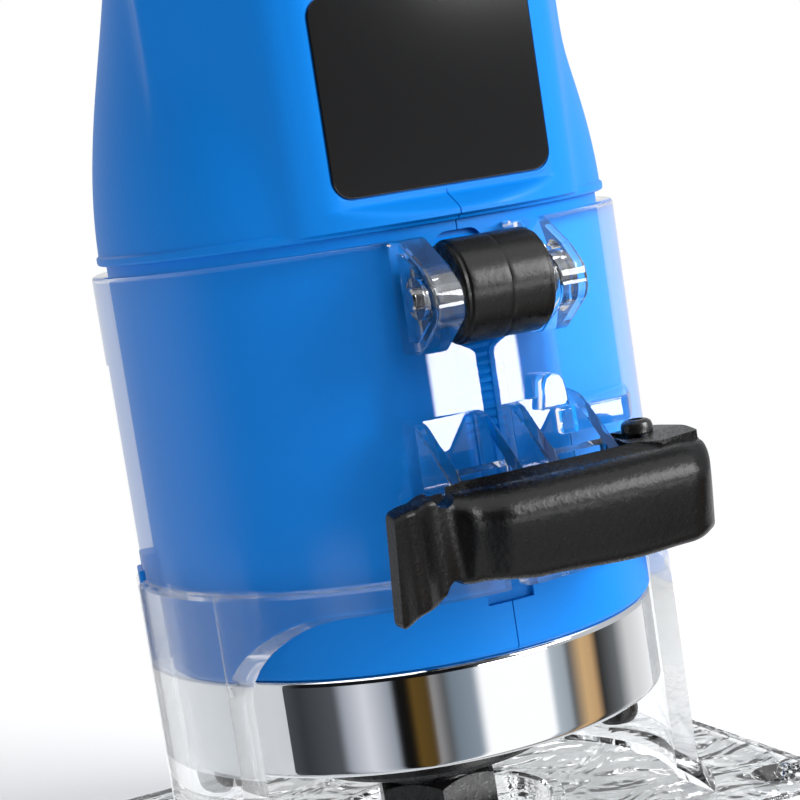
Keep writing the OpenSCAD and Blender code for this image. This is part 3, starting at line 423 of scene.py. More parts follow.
def raised(
    tree: bpy.types.NodeTree, pattern: bpy.types.NodeSocket, depth: float, **values: bpy.types.NodeSocket
) -> bpy.types.NodeSocket:
    """Returns the surface normal under a pattern that stands up by a depth in metres."""
    inputs = {"Height": pattern, "Strength": 1.0, "Distance": depth} | values
    return add_node(tree, "ShaderNodeBump", inputs).outputs["Normal"]


def add_surface(tree: bpy.types.NodeTree, inputs: dict) -> None:
    """Adds the principled shader with its values and links, and the output."""
    shader = add_node(tree, "ShaderNodeBsdfPrincipled", inputs)
    add_node(tree, "ShaderNodeOutputMaterial", {"Surface": shader.outputs[0]})


@dataclass(frozen=True)
class MouldedPlastic:
    """Injection-moulded plastic with a spark-eroded grain: a soft highlight broken up by fine pits."""

    name: str
    colour: str
    shade: str
    roughness: float = 0.4
    grain_mm: float = 0.35
    grain_depth_mm: float = 0.012
    cloud_mm: float = 22.0
    specular: float = 0.5

    def build(self) -> bpy.types.Material:
        """Returns the material."""
        material, tree = empty_material(self.name)
        place = add_node(tree, "ShaderNodeTexCoord").outputs["Object"]
        grain = noise(tree, place, self.grain_mm * MM, detail=3.0, roughness=0.6)
        cloud = noise(tree, place, self.cloud_mm * MM, detail=2.0)
        add_surface(
            tree,
            {
                "Base Color": blend_colours(tree, cloud, linear(self.shade), linear(self.colour)),
                "Roughness": remap(tree, grain, self.roughness * 0.82, self.roughness * 1.18),
                "Normal": raised(tree, grain, self.grain_depth_mm * MM),
                "Specular IOR Level": self.specular,
            },
        )
        return material


@dataclass(frozen=True)
class ClearPolycarbonate:
    """Water-clear polycarbonate: hard highlights, slight ripples, a wavy underside, thin walls that bend little."""

    name: str = "clear polycarbonate"
    ior: float = 1.58
    roughness: float = 0.012
    ripple_mm: float = 9.0
    ripple_depth_mm: float = 0.02
    ice_mm: float = 8.5
    ice_depth_mm: float = 0.6
    ice_z_mm: tuple[float, float] = (3.2, 0.1)  # heights where the wavy underside starts and is full
    wall_alpha: float = 0.7
    wall_r_mm: tuple[float, float] = (34.34, 34.46)  # radii where the thin wall ends and solid plastic starts
    leg_alpha: tuple[float, float] = (0.92, 0.6)  # on rays that enter, and on rays that leave
    leg_step_mm: float = 1.0
    wall_z_mm: tuple[float, ...] = (4.2, 5.0, 43.0, 43.6, 82.2, 82.5)  # plate, foot, leg, wall, rim's start and end

    def build(self) -> bpy.types.Material:
        """Returns the material: part of the light passes the thin walls unbent, and solid parts bend all of it."""
        material, tree = empty_material(self.name)
        place = add_node(tree, "ShaderNodeTexCoord").outputs["Object"]
        height = add_node(tree, "ShaderNodeSeparateXYZ", {0: place}).outputs["Z"]
        level = {0: place, 1: (1.0, 1.0, 0.0)}
        flat = add_node(tree, "ShaderNodeVectorMath", level, operation="MULTIPLY").outputs[0]
        reach = add_node(tree, "ShaderNodeVectorMath", {0: flat}, operation="LENGTH").outputs["Value"]
        leaving = add_node(tree, "ShaderNodeNewGeometry").outputs["Backfacing"]
        plate, foot, leg, wall, rim_from, rim_to = (z * MM for z in self.wall_z_mm)
        below = ramp_up(tree, height, wall, leg)
        above = ramp_up(tree, height, rim_from, rim_to)
        legs = maths(tree, "MULTIPLY", below, remap(tree, leaving, *self.leg_alpha))
        ends = maths(tree, "MAXIMUM", above, legs)
        ends = maths(tree, "MAXIMUM", ends, ramp_up(tree, height, foot, plate))
        step = maths(tree, "MULTIPLY", below, -self.leg_step_mm * MM)
        reach = maths(tree, "ADD", reach, step)
        near, away = (r * MM for r in self.wall_r_mm)
        solid = maths(tree, "MAXIMUM", ramp_up(tree, reach, near, away), ends)
        thin = remap(tree, leaving, self.wall_alpha, 0.0)
        ripple = noise(tree, place, self.ripple_mm * MM, detail=1.0)
        ice = noise(tree, place, self.ice_mm * MM, detail=1.5, distortion=1.6)
        under = ramp_up(tree, height, self.ice_z_mm[0] * MM, self.ice_z_mm[1] * MM)
        waves = maths(tree, "MULTIPLY", ice, under)
        soft = raised(tree, ripple, self.ripple_depth_mm * MM)
        add_surface(
            tree,
            {
                "Base Color": linear("#FBFDFE"),
                "Roughness": self.roughness,
                "IOR": self.ior,
                "Transmission Weight": 1.0,
                "Alpha": maths(tree, "MAXIMUM", thin, solid),
                "Normal": raised(tree, waves, self.ice_depth_mm * MM, Normal=soft),
            },
        )
        return material


@dataclass(frozen=True)
class Metal:
    """Turned or ground metal: fine lines round the axis that draw the reflections out."""

    name: str
    colour: str
    roughness: float = 0.12
    line_mm: float = 0.25
    line_depth_mm: float = 0.0015
    dust_mm: float = 1.2
    run: float = 40.0

    def build(self) -> bpy.types.Material:
        """Returns the material."""
        material, tree = empty_material(self.name)
        place = add_node(tree, "ShaderNodeTexCoord").outputs["Object"]
        drawn = add_node(tree, "ShaderNodeMapping", {"Vector": place, "Scale": (1.0, 1.0, self.run)})
        lines = noise(tree, drawn.outputs[0], self.line_mm * MM * self.run, detail=4.0, roughness=0.7)
        dust = noise(tree, place, self.dust_mm * MM, detail=4.0)
        add_surface(
            tree,
            {
                "Base Color": linear(self.colour),
                "Metallic": 1.0,
                "Roughness": remap(tree, dust, self.roughness * 0.7, self.roughness * 1.3),
                "Normal": raised(tree, lines, self.line_depth_mm * MM),
            },
        )
        return material


BLUE_ABS = MouldedPlastic("blue ABS", "#017DDC", "#0078D4", grain_mm=0.5, grain_depth_mm=0.014, specular=0.16)
BLACK_NYLON = MouldedPlastic(
    "black nylon", "#0B0B0C", "#080809", roughness=0.27, grain_mm=0.7, grain_depth_mm=0.06, specular=0.2
)
BLACK_RUBBER = MouldedPlastic(
    "black rubber", "#0C0C0C", "#090909", roughness=0.28, grain_mm=0.7, grain_depth_mm=0.03, specular=0.25
)
BLACK_FOIL = MouldedPlastic(
    "printed foil", "#121213", "#0E0E0F", roughness=0.1, grain_mm=0.2, grain_depth_mm=0.001, specular=0.3
)
BLACK_OXIDE = MouldedPlastic(
    "black oxide steel", "#1A1A1B", "#111112", roughness=0.28, grain_mm=0.6, grain_depth_mm=0.01
)
GRAPHITE = MouldedPlastic("carbon graphite", "#2B2B2D", "#222224", roughness=0.6)
ENAMELLED = MouldedPlastic("enamelled copper wire", "#9A4A1E", "#7E3814", roughness=0.3, grain_mm=0.8)
POLISHED = Metal("polished aluminium", "#E4E6E9", roughness=0.05)
BRIGHT_STEEL = Metal("bright steel", "#C9CACC", roughness=0.16, line_mm=0.3)
LAMINATED = Metal("laminated steel", "#7B7D82", roughness=0.4, line_mm=0.5, line_depth_mm=0.01)
BRASS = Metal("brass", "#C9A35A", roughness=0.25)
COPPER = Metal("copper", "#C77B4A", roughness=0.25)
CLEAR = ClearPolycarbonate()

Finish = MouldedPlastic | ClearPolycarbonate | Metal


class Wardrobe:
    """Builds each material once and hands it out by its finish."""

    def __init__(self) -> None:
        """Starts with nothing built."""
        self.built: dict[str, bpy.types.Material] = {}

    def get(self, finish: Finish) -> bpy.types.Material:
        """Returns the material of a finish."""
        if finish.name not in self.built:
            self.built[finish.name] = finish.build()
        return self.built[finish.name]

    def place(
        self, obj: bpy.types.Object, body: str, slot: str, finish: Finish, nodes: tuple[str, ...] = ()
    ) -> None:
        """Dresses a finished piece and puts it on its body.

        Args:
            obj: The piece.
            body: The body that it rides on.
            slot: Name of the record's material slot; not used.
            finish: What it is made of.
            nodes: The CAD nodes that it stands for.
        """
        obj.data.materials.clear()
        obj.data.materials.append(self.get(finish))
        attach(obj, body)
        if nodes:
            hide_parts(*nodes)
        LOG.info("%s on %s, %d faces", obj.name, body, len(obj.data.polygons))

    def dress_node(self, name: str, finish: Finish) -> None:
        """Gives a CAD node that stays a material of its own."""
        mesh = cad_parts[name].data
        for index in range(max(1, len(mesh.materials))):
            if index < len(mesh.materials):
                mesh.materials[index] = self.get(finish)
            else:
                mesh.materials.append(self.get(finish))


# ------------------------------------------------------------------ repeats


class Pattern(Enum):
    """What the copies of a repeated piece follow."""

    RING = "ring"
    ROW = "row"


def repeat_tree(pattern: Pattern) -> bpy.types.NodeTree:
    """Builds the node tree that repeats one piece round a ring or along a row.

    Args:
        pattern: What the copies follow.

    Returns:
        A tree with the inputs Piece, Count, Radius, Start, Pitch and Material.
    """
    tree = bpy.data.node_groups.new(f"repeat {pattern.value}", "GeometryNodeTree")
    kinds = {"Geometry": "Geometry", "Piece": "Object", "Count": "Int", "Radius": "Float", "Start": "Float"}
    kinds |= {"Pitch": "Vector", "Material": "Material"}
    for label, kind in kinds.items():
        tree.interface.new_socket(label, in_out="INPUT", socket_type=f"NodeSocket{kind}")
    tree.interface.new_socket("Geometry", in_out="OUTPUT", socket_type="NodeSocketGeometry")
    given = add_node(tree, "NodeGroupInput").outputs
    piece = add_node(tree, "GeometryNodeObjectInfo", {"Object": given["Piece"]}).outputs["Geometry"]
    index = add_node(tree, "GeometryNodeInputIndex").outputs[0]
    line = add_node(tree, "GeometryNodeMeshLine", {"Count": given["Count"], "Offset": given["Pitch"]})
    turn = None
    if pattern is Pattern.RING:
        share = maths(tree, "DIVIDE", index, given["Count"])
        whole = {0: share, 1: 2 * math.pi, 2: given["Start"]}
        angle = add_node(tree, "ShaderNodeMath", whole, operation="MULTIPLY_ADD").outputs[0]
        turn = add_node(tree, "ShaderNodeCombineXYZ", {"Z": angle}).outputs[0]
        out = maths(tree, "MULTIPLY", given["Radius"], -1.0)
        arm = add_node(tree, "ShaderNodeCombineXYZ", {"Y": out}).outputs[0]
        spot = add_node(tree, "ShaderNodeVectorRotate", {"Vector": arm, "Rotation": turn}, rotation_type="EULER_XYZ")
        moved = {"Geometry": line.outputs[0], "Position": spot.outputs[0]}
        line = add_node(tree, "GeometryNodeSetPosition", moved)
    copies = add_node(tree, "GeometryNodeInstanceOnPoints", {"Points": line.outputs[0], "Instance": piece})
    if turn is not None:
        tree.links.new(turn, copies.inputs["Rotation"])
    real = add_node(tree, "GeometryNodeRealizeInstances", {0: copies.outputs[0]})
    dressed = add_node(tree, "GeometryNodeSetMaterial", {0: real.outputs[0], "Material": given["Material"]})
    add_node(tree, "NodeGroupOutput", {0: dressed.outputs[0]})
    return tree


def repeated(
    name: str,
    piece: bpy.types.Object,
    pattern: Pattern,
    material: bpy.types.Material,
    count: int,
    radius: float = 0.0,
    start_deg: float = 0.0,
    pitch: Point3 = (0, 0, 0),
) -> bpy.types.Object:
    """Repeats a piece with geometry nodes and returns the copies as one plain mesh.

    Args:
        name: Name of the result.
        piece: The piece to repeat, which is removed.
        pattern: What the copies follow.
        material: The copies' material.
        count: Number of copies.
        radius: Radius of a ring, in millimetres.
        start_deg: Angle of a ring's first copy from the front.
        pitch: Step of a row, in millimetres.

    Returns:
        A new object in millimetres.
    """
    tree = repeat_tree(pattern)
    mesh = bpy.data.meshes.new(name)
    host = bpy.data.objects.new(name, mesh)
    bpy.context.scene.collection.objects.link(host)
    modifier = host.modifiers.new("repeat", "NODES")
    modifier.node_group = tree
    ids = {item.name: item.identifier for item in tree.interface.items_tree if item.in_out == "INPUT"}
    values = {
        "Piece": piece,
        "Count": count,
        "Radius": float(radius),
        "Start": math.radians(start_deg),
        "Pitch": pitch,
        "Material": material,
    }
    for key, value in values.items():
        modifier[ids[key]] = value
    bpy.context.view_layer.update()
    graph = bpy.context.evaluated_depsgraph_get()
    result = bpy.data.meshes.new_from_object(host.evaluated_get(graph))
    host.modifiers.remove(modifier)
    host.data = result
    bpy.data.meshes.remove(piece.data)
    return host


# ------------------------------------------------------------------ base


@dataclass
class ClearBase:
    """The clear base: plate, two legs, the split sleeve and what stands on its front."""

    plate: tuple[float, float, float, float] = (92.0, 30.0, 46.0, 4.0)  # width, front, back, thickness
    sleeve: tuple[float, float, float] = (32.5, 34.3, 83.0)  # inner radius, outer radius, rim height
    leg_out: float = 35.2
    band_z: float = 43.3
    front_half: float = 29.8
    rear_half: float = 22.0
    window_top: float = 40.0
    window_r: float = 10.0
    pad_y: float = 34.7
    pad_half: float = 9.3
    pad_bow: float = 43.0
    slot_half: float = 1.2
    axle: tuple[float, float, float] = (38.6, 76.3, 1.4)  # distance, height, radius
    ear: tuple[float, float] = (6.1, 9.7)
    bolt: tuple[float, float, float] = (41.0, 50.2, 2.15)
    lug: tuple[float, float] = (1.6, 11.0)
    lug_y: float = 44.5

    def plate_solid(self) -> bpy.types.Object:
        """Returns the plate with its opening, rim and countersunk holes."""
        width, front, back, thick = self.plate
        plate = prism("plate", upright(width / 2, -front, back, 7, 7, 10), 0, thick, edge=0.45)
        top = thick + 1
        unite(plate, turned("rim", [(0, thick - 1), (17, thick - 1), (17, thick + 0.7), (16.7, top), (0, top)]))
        opening = [(0, -1), (15.4, -1), (15.4, 0), (15, 0.4), (15, thick + 0.6), (15.4, top), (15.4, 9), (0, 9)]
        carve(plate, turned("opening", opening))
        hole = [(0, -1), (2.2, -1), (2.2, thick - 1.6), (3.8, thick + 0.01), (3.8, top), (0, top)]
        for x in (-40, 40):
            for y in (-22, 34):
                carve(plate, turned("hole", hole, at=(x, y, 0), segments=SMALL))
        return plate

    def wall_solid(self) -> bpy.types.Object:
        """Returns the sleeve on its two legs, with rounded rims."""
        inner, outer, top = self.sleeve
        flare = [
            (self.leg_out + 3 * (1 - math.sin(a)), 9.4 - 5.9 * math.cos(a))
            for a in (0, 0.3, 0.6, 0.9, 1.2, 1.571)
        ]
        profile = [(inner, 3.5)] + flare
        profile += [(self.leg_out, self.band_z - 0.5), (self.leg_out - 0.25, self.band_z - 0.08)]
        profile += [(outer + 0.15, self.band_z + 0.05), (outer, self.band_z + 0.3)]
        profile += [(outer, top - 0.5), (outer - 0.15, top - 0.14), (outer - 0.5, top)]
        profile += [(inner + 0.5, top), (inner + 0.15, top - 0.14), (inner, top - 0.5)]
        wall = turned("wall", profile, segments=320)
        for half, turn in ((self.front_half, 1), (self.rear_half, -1)):
            low, high = sorted((-turn * 10.8, -turn * FAR))
            outline = upright(half, 0, self.window_top, 0, self.window_r, 10)
            carve(wall, prism("window", outline, low, high, Axis.Y))
        return wall

    def ear_outline(self, inset: float) -> list[Point2]:
        """Returns an ear's (y, z) outline, pulled in towards its middle by an inset."""
        y, z = -self.axle[0], self.axle[1]
        corners = [
            (-31.5, 83.0, 0.0),
            (-36.3, 83.0, 1.5),
            (y - 3.0, z + 3.6, 2.5),
            (y - 6.0, z + 0.8, 2.5),
            (y - 6.0, z - 2.4, 2.5),
            (y + 0.6, z - 6.6, 2.0),
            (-31.5, z - 6.6, 0.0),
        ]
        mid_y, mid_z = y + 1, z + 0.2
        k = 1 - inset / 6
        return rounded([(mid_y + (a - mid_y) * k, mid_z + (b - mid_z) * k, r * k) for a, b, r in corners])

    def ear_solid(self, side: int) -> bpy.types.Object:
        """Returns one ear, with a shallow hollow outside and the axle's boss in it."""
        y, z, r = -self.axle[0], self.axle[1], self.axle[2]
        low, high = self.ear
        span = sorted((side * low, side * high))
        ear = prism("ear", self.ear_outline(0), *span, Axis.X, edge=0.35)
        floor = side * (high - 0.9)
        pocket = prism("pocket", self.ear_outline(1.35), *sorted((floor, side * (high + 2))), Axis.X)
        keep = block((-20, y - 5.2, z - 8), (20, -self.pad_y - 0.9, z + 9))
        carve(ear, combine(pocket, Combine.COMMON, keep))
        boss = sorted((floor - side * 0.5, side * (high - 0.2)))
        return unite(ear, rod(r + 1.1, *boss, Axis.X, (0, y, z)))

    def lug_solid(self, side: int) -> bpy.types.Object:
        """Returns one lug: two ramped gussets with a floor bar and a front bar between them."""
        low, high = self.lug
        span = sorted((side * low, side * high))
        ramp = [(-31.5, 43.8, 0), (-self.lug_y, 43.8, 0.8), (-self.lug_y, 55.2, 1.0), (-36.5, 61.6, 3.0)]
        lug = prism("lug", rounded(ramp + [(-31.5, 62.4, 0)]), *span, Axis.X, edge=0.3)
        between = sorted((side * (low + 1.5), side * (high - 1.5)))
        pocket = [(-42.6, 53.6, 0.8), (-42.6, 70, 0), (-34.9, 70, 0), (-34.9, 53.6, 0.8)]
        carve(lug, prism("pocket", rounded(pocket), *between, Axis.X, edge=0.3))
        step = [(-46, 52.9, 0), (-46, 60, 0), (-43.6, 60, 0), (-43.2, 54.2, 0.6), (-44.0, 52.9, 0.6)]
        return carve(lug, prism("step", rounded(step), *between, Axis.X))

    def prong_solid(self) -> bpy.types.Object:
        """Returns the upright rounded prong behind the right lug."""
        outline = rounded([(5.6, 60.4, 0), (9.4, 60.4, 0), (9.0, 64.6, 1.5), (6.4, 64.6, 1.2)])
        return prism("prong", outline, -36.4, -33.5, Axis.Y, edge=0.3)

    def pad_solid(self) -> bpy.types.Object:
        """Returns the gently bowed pad up the front of the sleeve."""
        root, bow = self.pad_half + 2, self.pad_bow
        sweep = math.asin(self.pad_half / bow)
        turns = [sweep * k / 12 for k in range(-12, 13)]
        front = [(bow * math.sin(t), bow - self.pad_y - bow * math.cos(t)) for t in turns]
        outline = [(-root, -31.0), (-root, -32.2)] + front + [(root, -32.2), (root, -31.0)]
        return prism("pad", outline, self.window_top, self.sleeve[2], edge=0.3)

    def shelf_solid(self) -> bpy.types.Object:
        """Returns the slab on the right that stiffens the clamp's side."""
        corners = [
            (8, -31, 0), (8, -36.3, 0), (17.2, -36.3, 2), (19.8, -32.3, 1.5), (23.6, -24.5, 0), (19, -24.5, 0)
        ]
        return prism("shelf", rounded(corners), 57.0, 60.2, edge=0.4)

    def build(self) -> bpy.types.Object:
        """Returns the finished base."""
        base = self.wall_solid()
        fronts = [self.pad_solid(), self.shelf_solid(), self.prong_solid()]
        for side in (-1, 1):
            fronts += [self.ear_solid(side), self.lug_solid(side)]
        unite(base, *fronts)
        hollow = [(0, 8), (self.sleeve[0], 8), (self.sleeve[0], 90), (0, 90)]
        carve(base, turned("hollow", hollow, segments=320))
        s, w = self.slot_half, self.ear[0]
        slot = [
            (-s, 30, 0), (s, 30, 0), (s, 68.8, 1.2), (w, 71.4, 0.9), (w, 90, 0), (-w, 90, 0), (-w, 71.4, 0.9),
            (-s, 68.8, 1.2),
        ]
        carve(base, prism("slot", rounded(slot), -FAR, -10, Axis.Y))
        carve(base, spin(block((-3.2, -FAR, 10), (3.2, -20, 71.6)), KEY_DEG))
        for away, height, radius in (self.bolt, self.axle):
            carve(base, rod(radius, -60, 60, Axis.X, (0, -away, height)))
        unite(base, self.plate_solid())
        return as_piece(base, "clear_base")


# ------------------------------------------------------------------ front fittings


@dataclass
class DepthRoller:
    """The rubber roller that turns against the rack, on its steel axle."""

    axle: tuple[float, float] = (38.6, 76.3)
    r: float = 6.1
    half: float = 5.7
    axle_r: float = 1.4
    axle_half: float = 10.3

    def centre(self) -> Point3:
        """Returns the middle of the axle."""
        return (0, -self.axle[0], self.axle[1])

    def build_roller(self) -> bpy.types.Object:
        """Returns the drum, with a flange at each end and a faint parting line."""
        r, h = self.r, self.half
        half = [(1.45, -h), (r - 0.6, -h), (r - 0.35, -h + 0.2), (r - 0.35, -h + 0.55), (r - 0.2, -h + 0.7)]
        half += [(r - 0.03, -h + 0.76), (r, -h + 0.95), (r, -h + 1.4), (r, -0.6), (r, -0.15), (r - 0.04, 0.0)]
        profile = half + [(a, -b) for a, b in reversed(half[:-1])]
        return as_piece(turned("roller", profile, Axis.X, self.centre()), "depth_roller")

    def build_axle(self) -> bpy.types.Object:
        """Returns the axle, chamfered and grooved near both ends."""
        r, h = self.axle_r, self.axle_half
        half = [(0, -h), (r - 0.25, -h), (r, -h + 0.25), (r, -h + 0.9), (r - 0.35, -h + 0.92)]
        half += [(r - 0.35, -h + 1.5), (r, -h + 1.52)]
        profile = half + [(a, -b) for a, b in reversed(half)]
        return as_piece(turned("axle", profile, Axis.X, self.centre(), SMALL), "roller_axle_steel")


@dataclass
class ClampLever:
    """The cam lever: a crowned bar, a flat head round the pivot and a flared finger tab."""

    pivot: tuple[float, float] = (15.2, -41.0)
    z0: float = 44.5
    z1: float = 56.3
    left: float = -38.4
    neck: float = -29.4
    right: float = 5.6
    end_round: float = 4.6
    top_slope: float = 0.16
    bolt_z: float = 50.2
    edge_r: float = 0.7  # radius of the tab's front edges
    top_grow: float = 3.2  # how much larger the bar's upper edge is
    low_grow: float = 1.0  # how much larger its lower edge is
    lean: float = 1.4  # how far the front's foot stands behind its top
    eye: Point2 = (3.75, 2.55)  # radius and half height of the hollow for the bolt's eye

    def front(self, x: float) -> float:
        """Returns how far forward of the pivot the lever's face is, at a distance along it."""
        stations = ((-38.4, 12.0), (-34.5, 10.2), (-31.2, 8.3), (-29.0, 8.0), (-26.5, 9.0), (-22.0, 9.9))
        return smooth_between(stations + ((-10.0, 10.0), (6.0, 9.7)), x)

    def depth(self, x: float) -> float:
        """Returns the lever's thickness from front to back."""
        return smooth_between(((-38.4, 2.3), (-31.2, 2.6), (-28.5, 3.4), (-24.0, 5.4), (6.0, 5.6)), x)

    def low(self, x: float) -> float:
        """Returns the height of the lower edge, which bellies towards the right."""
        drops = ((-38.4, -1.9), (-33.0, -1.0), (-29.0, 0.4), (-26.0, 0.1), (-18.0, -0.8), (-6.0, -1.35))
        return self.z0 + smooth_between(drops + ((1.0, -1.1), (6.0, -0.6)), x)

    def section(self, x: float) -> list[Point3]:
        """Returns the lever's section: a crowned front, rounded edges and a top that slopes to the front."""
        lead = min(1.0, max(0.0, (x - self.right + self.end_round) / self.end_round))
        back = 1 - math.sqrt(1 - lead**2)
        face = self.front(x)
        front = -face + (face - 4.6) * back
        rear = min(-face + self.depth(x), -4.4)
        inset = 0.5 * back
        low = self.low(x) + inset
        high = self.z1 - self.top_slope * (face - 1.5) - inset
        bar = smooth_between(((-31.0, 0.0), (-26.0, 1.0)), x)
        deep = rear - front
        top_r = min(self.edge_r + self.top_grow * bar, deep * 0.8)
        low_r = min(self.edge_r + self.low_grow * bar, deep * 0.45)
        foot = front + min(self.lean * bar, deep * 0.25)
        points: list[Point3] = []
        for k in range(13):
            a = math.radians(90 + 90 * k / 12)
            points.append((x, front + top_r + top_r * math.cos(a), high - top_r + top_r * math.sin(a)))
        for k in range(1, 8):
            z = high - top_r + (low + low_r - high + top_r) * k / 8
            points.append((x, front + (foot - front) * (k / 8) ** 1.5, z))
        for k in range(9):
            a = math.radians(180 + 90 * k / 8)
            points.append((x, foot + low_r + low_r * math.cos(a), low + low_r + low_r * math.sin(a)))
        return points + [(x, rear, low), (x, rear, high + self.top_slope * (rear - front))]

    def bar_solid(self) -> bpy.types.Object:
        """Returns the bar, its neck and its finger tab, lofted from their sections."""
        bm = bmesh.new()
        start, bend = self.left - 1, self.right - self.end_round
        steps = [start + (bend - start) * i / 70 for i in range(71)]
        steps += [bend + self.end_round * math.sin(math.pi / 2 * i / 14) for i in range(1, 14)]
        rings = [[bm.verts.new(p) for p in self.section(x)] for x in steps]
        for a, b in zip(rings, rings[1:]):
            for i in range(len(a)):
                j = (i + 1) % len(a)
                bm.faces.new((a[i], a[j], b[j], b[i]))
        bm.faces.new(rings[0])
        bm.faces.new(rings[-1])
        return new_object("bar", bm)

    def head_solid(self) -> bpy.types.Object:
        """Returns the flat head round the pivot, sloped with the bar's top."""
        side = self.right - 0.25
        outline = [(-3.9, -4.0, 0), (-3.9, 3.7, 3.5), (3.6, 3.7, 3.5), (side, -2.2, 1.4), (side, -4.7, 0.3)]
        head = prism("head", rounded(outline + [(0, -5.6, 0)], 8), self.z0 - 0.6, self.z1, edge=0.6)
        drop = self.top_slope * 20
        low, high = self.z0 - 5, self.z1
        slope = [(20, low), (20, high), (-1.5, high), (-21.5, high - drop), (-21.5, low)]
        return combine(head, Combine.COMMON, prism("slope", slope, -20, 20, Axis.X))

    def tab_trim(self) -> bpy.types.Object:
        """Returns the outline that rounds the tab's corners and leans its free edge."""
        x = self.left
        face = [(20, self.z0 - 6, 0), (20, self.z1 + 6, 0), (x + 5, self.z1 + 6, 0), (x + 5, self.z1 - 0.9, 0)]
        face += [(x + 1.2, self.z1 - 1.2, 0.9), (x + 0.1, self.z0 - 1.95, 1.0), (x + 3.2, self.z0 - 2.1, 0)]
        return prism("face", rounded(face + [(x + 4, self.z0 - 6, 0)], 5), -FAR, 10, Axis.Y)

    def build(self) -> bpy.types.Object:
        """Returns the finished lever."""
        lever = combine(self.bar_solid(), Combine.COMMON, self.tab_trim())
        unite(lever, self.head_solid())
        eye_r, low, high = self.eye[0], self.bolt_z - self.eye[1], self.bolt_z + self.eye[1]
        carve(lever, turned("eye", [(0, low), (eye_r, low), (eye_r, high), (0, high)], segments=SMALL))
        carve(lever, block((-60, -2.35, low), (60, 60, high)))
        carve(lever, rod(1.55, self.z0 + 1.25, 90, Axis.Z, (0, 0, 0)))
        wedge = rounded([(-3.6, 3.0, 0), (-3.6, -2.6, 0.8), (-0.6, -3.6, 0.8), (-2.0, 3.0, 0)])
        carve(lever, prism("wedge", wedge, self.bolt_z, 90))
        for z in (self.z0 - 0.3, self.z1 - 0.9):
            carve(lever, rod(1.5, -60, 10, Axis.Y, (self.neck, 0, z)))
        return as_piece(shift(lever, (*self.pivot, 0)), "cam_lever", 34)

    def build_screw(self) -> bpy.types.Object:
        """Returns the pan-head pivot screw with its socket."""
        z = self.z1
        profile = [(0, 46.1), (1.3, 46.1), (1.5, 46.3), (1.5, z), (1.9, z), (1.9, z + 0.7), (1.75, z + 1.15)]
        profile += [(1.4, z + 1.42), (1.1, z + 1.5), (0, z + 1.5)]
        screw = turned("screw", profile, at=(*self.pivot, 0), segments=SMALL)
        socket = rod(0.95, z + 0.5, 90, Axis.Z, (*self.pivot, 0), 6)
        return as_piece(carve(screw, socket), "pivot_screw_head")


@dataclass
class RatingPlate:
    """The bare plate in the recess of the front panel."""

    face_y: float = 31.0
    z0: float = 88.4
    size: Point2 = (28.4, 23.4)

    def build(self) -> bpy.types.Object:
        """Returns the plate."""
        outline = upright(self.size[0] / 2, self.z0, self.z0 + self.size[1], 2.4, 2.4, 10)
        plate = prism("plate", outline, -self.face_y, -self.face_y + 0.5, Axis.Y, edge=0.12)
        return as_piece(plate, "bare_rating_plate")


# ------------------------------------------------------------------ motor


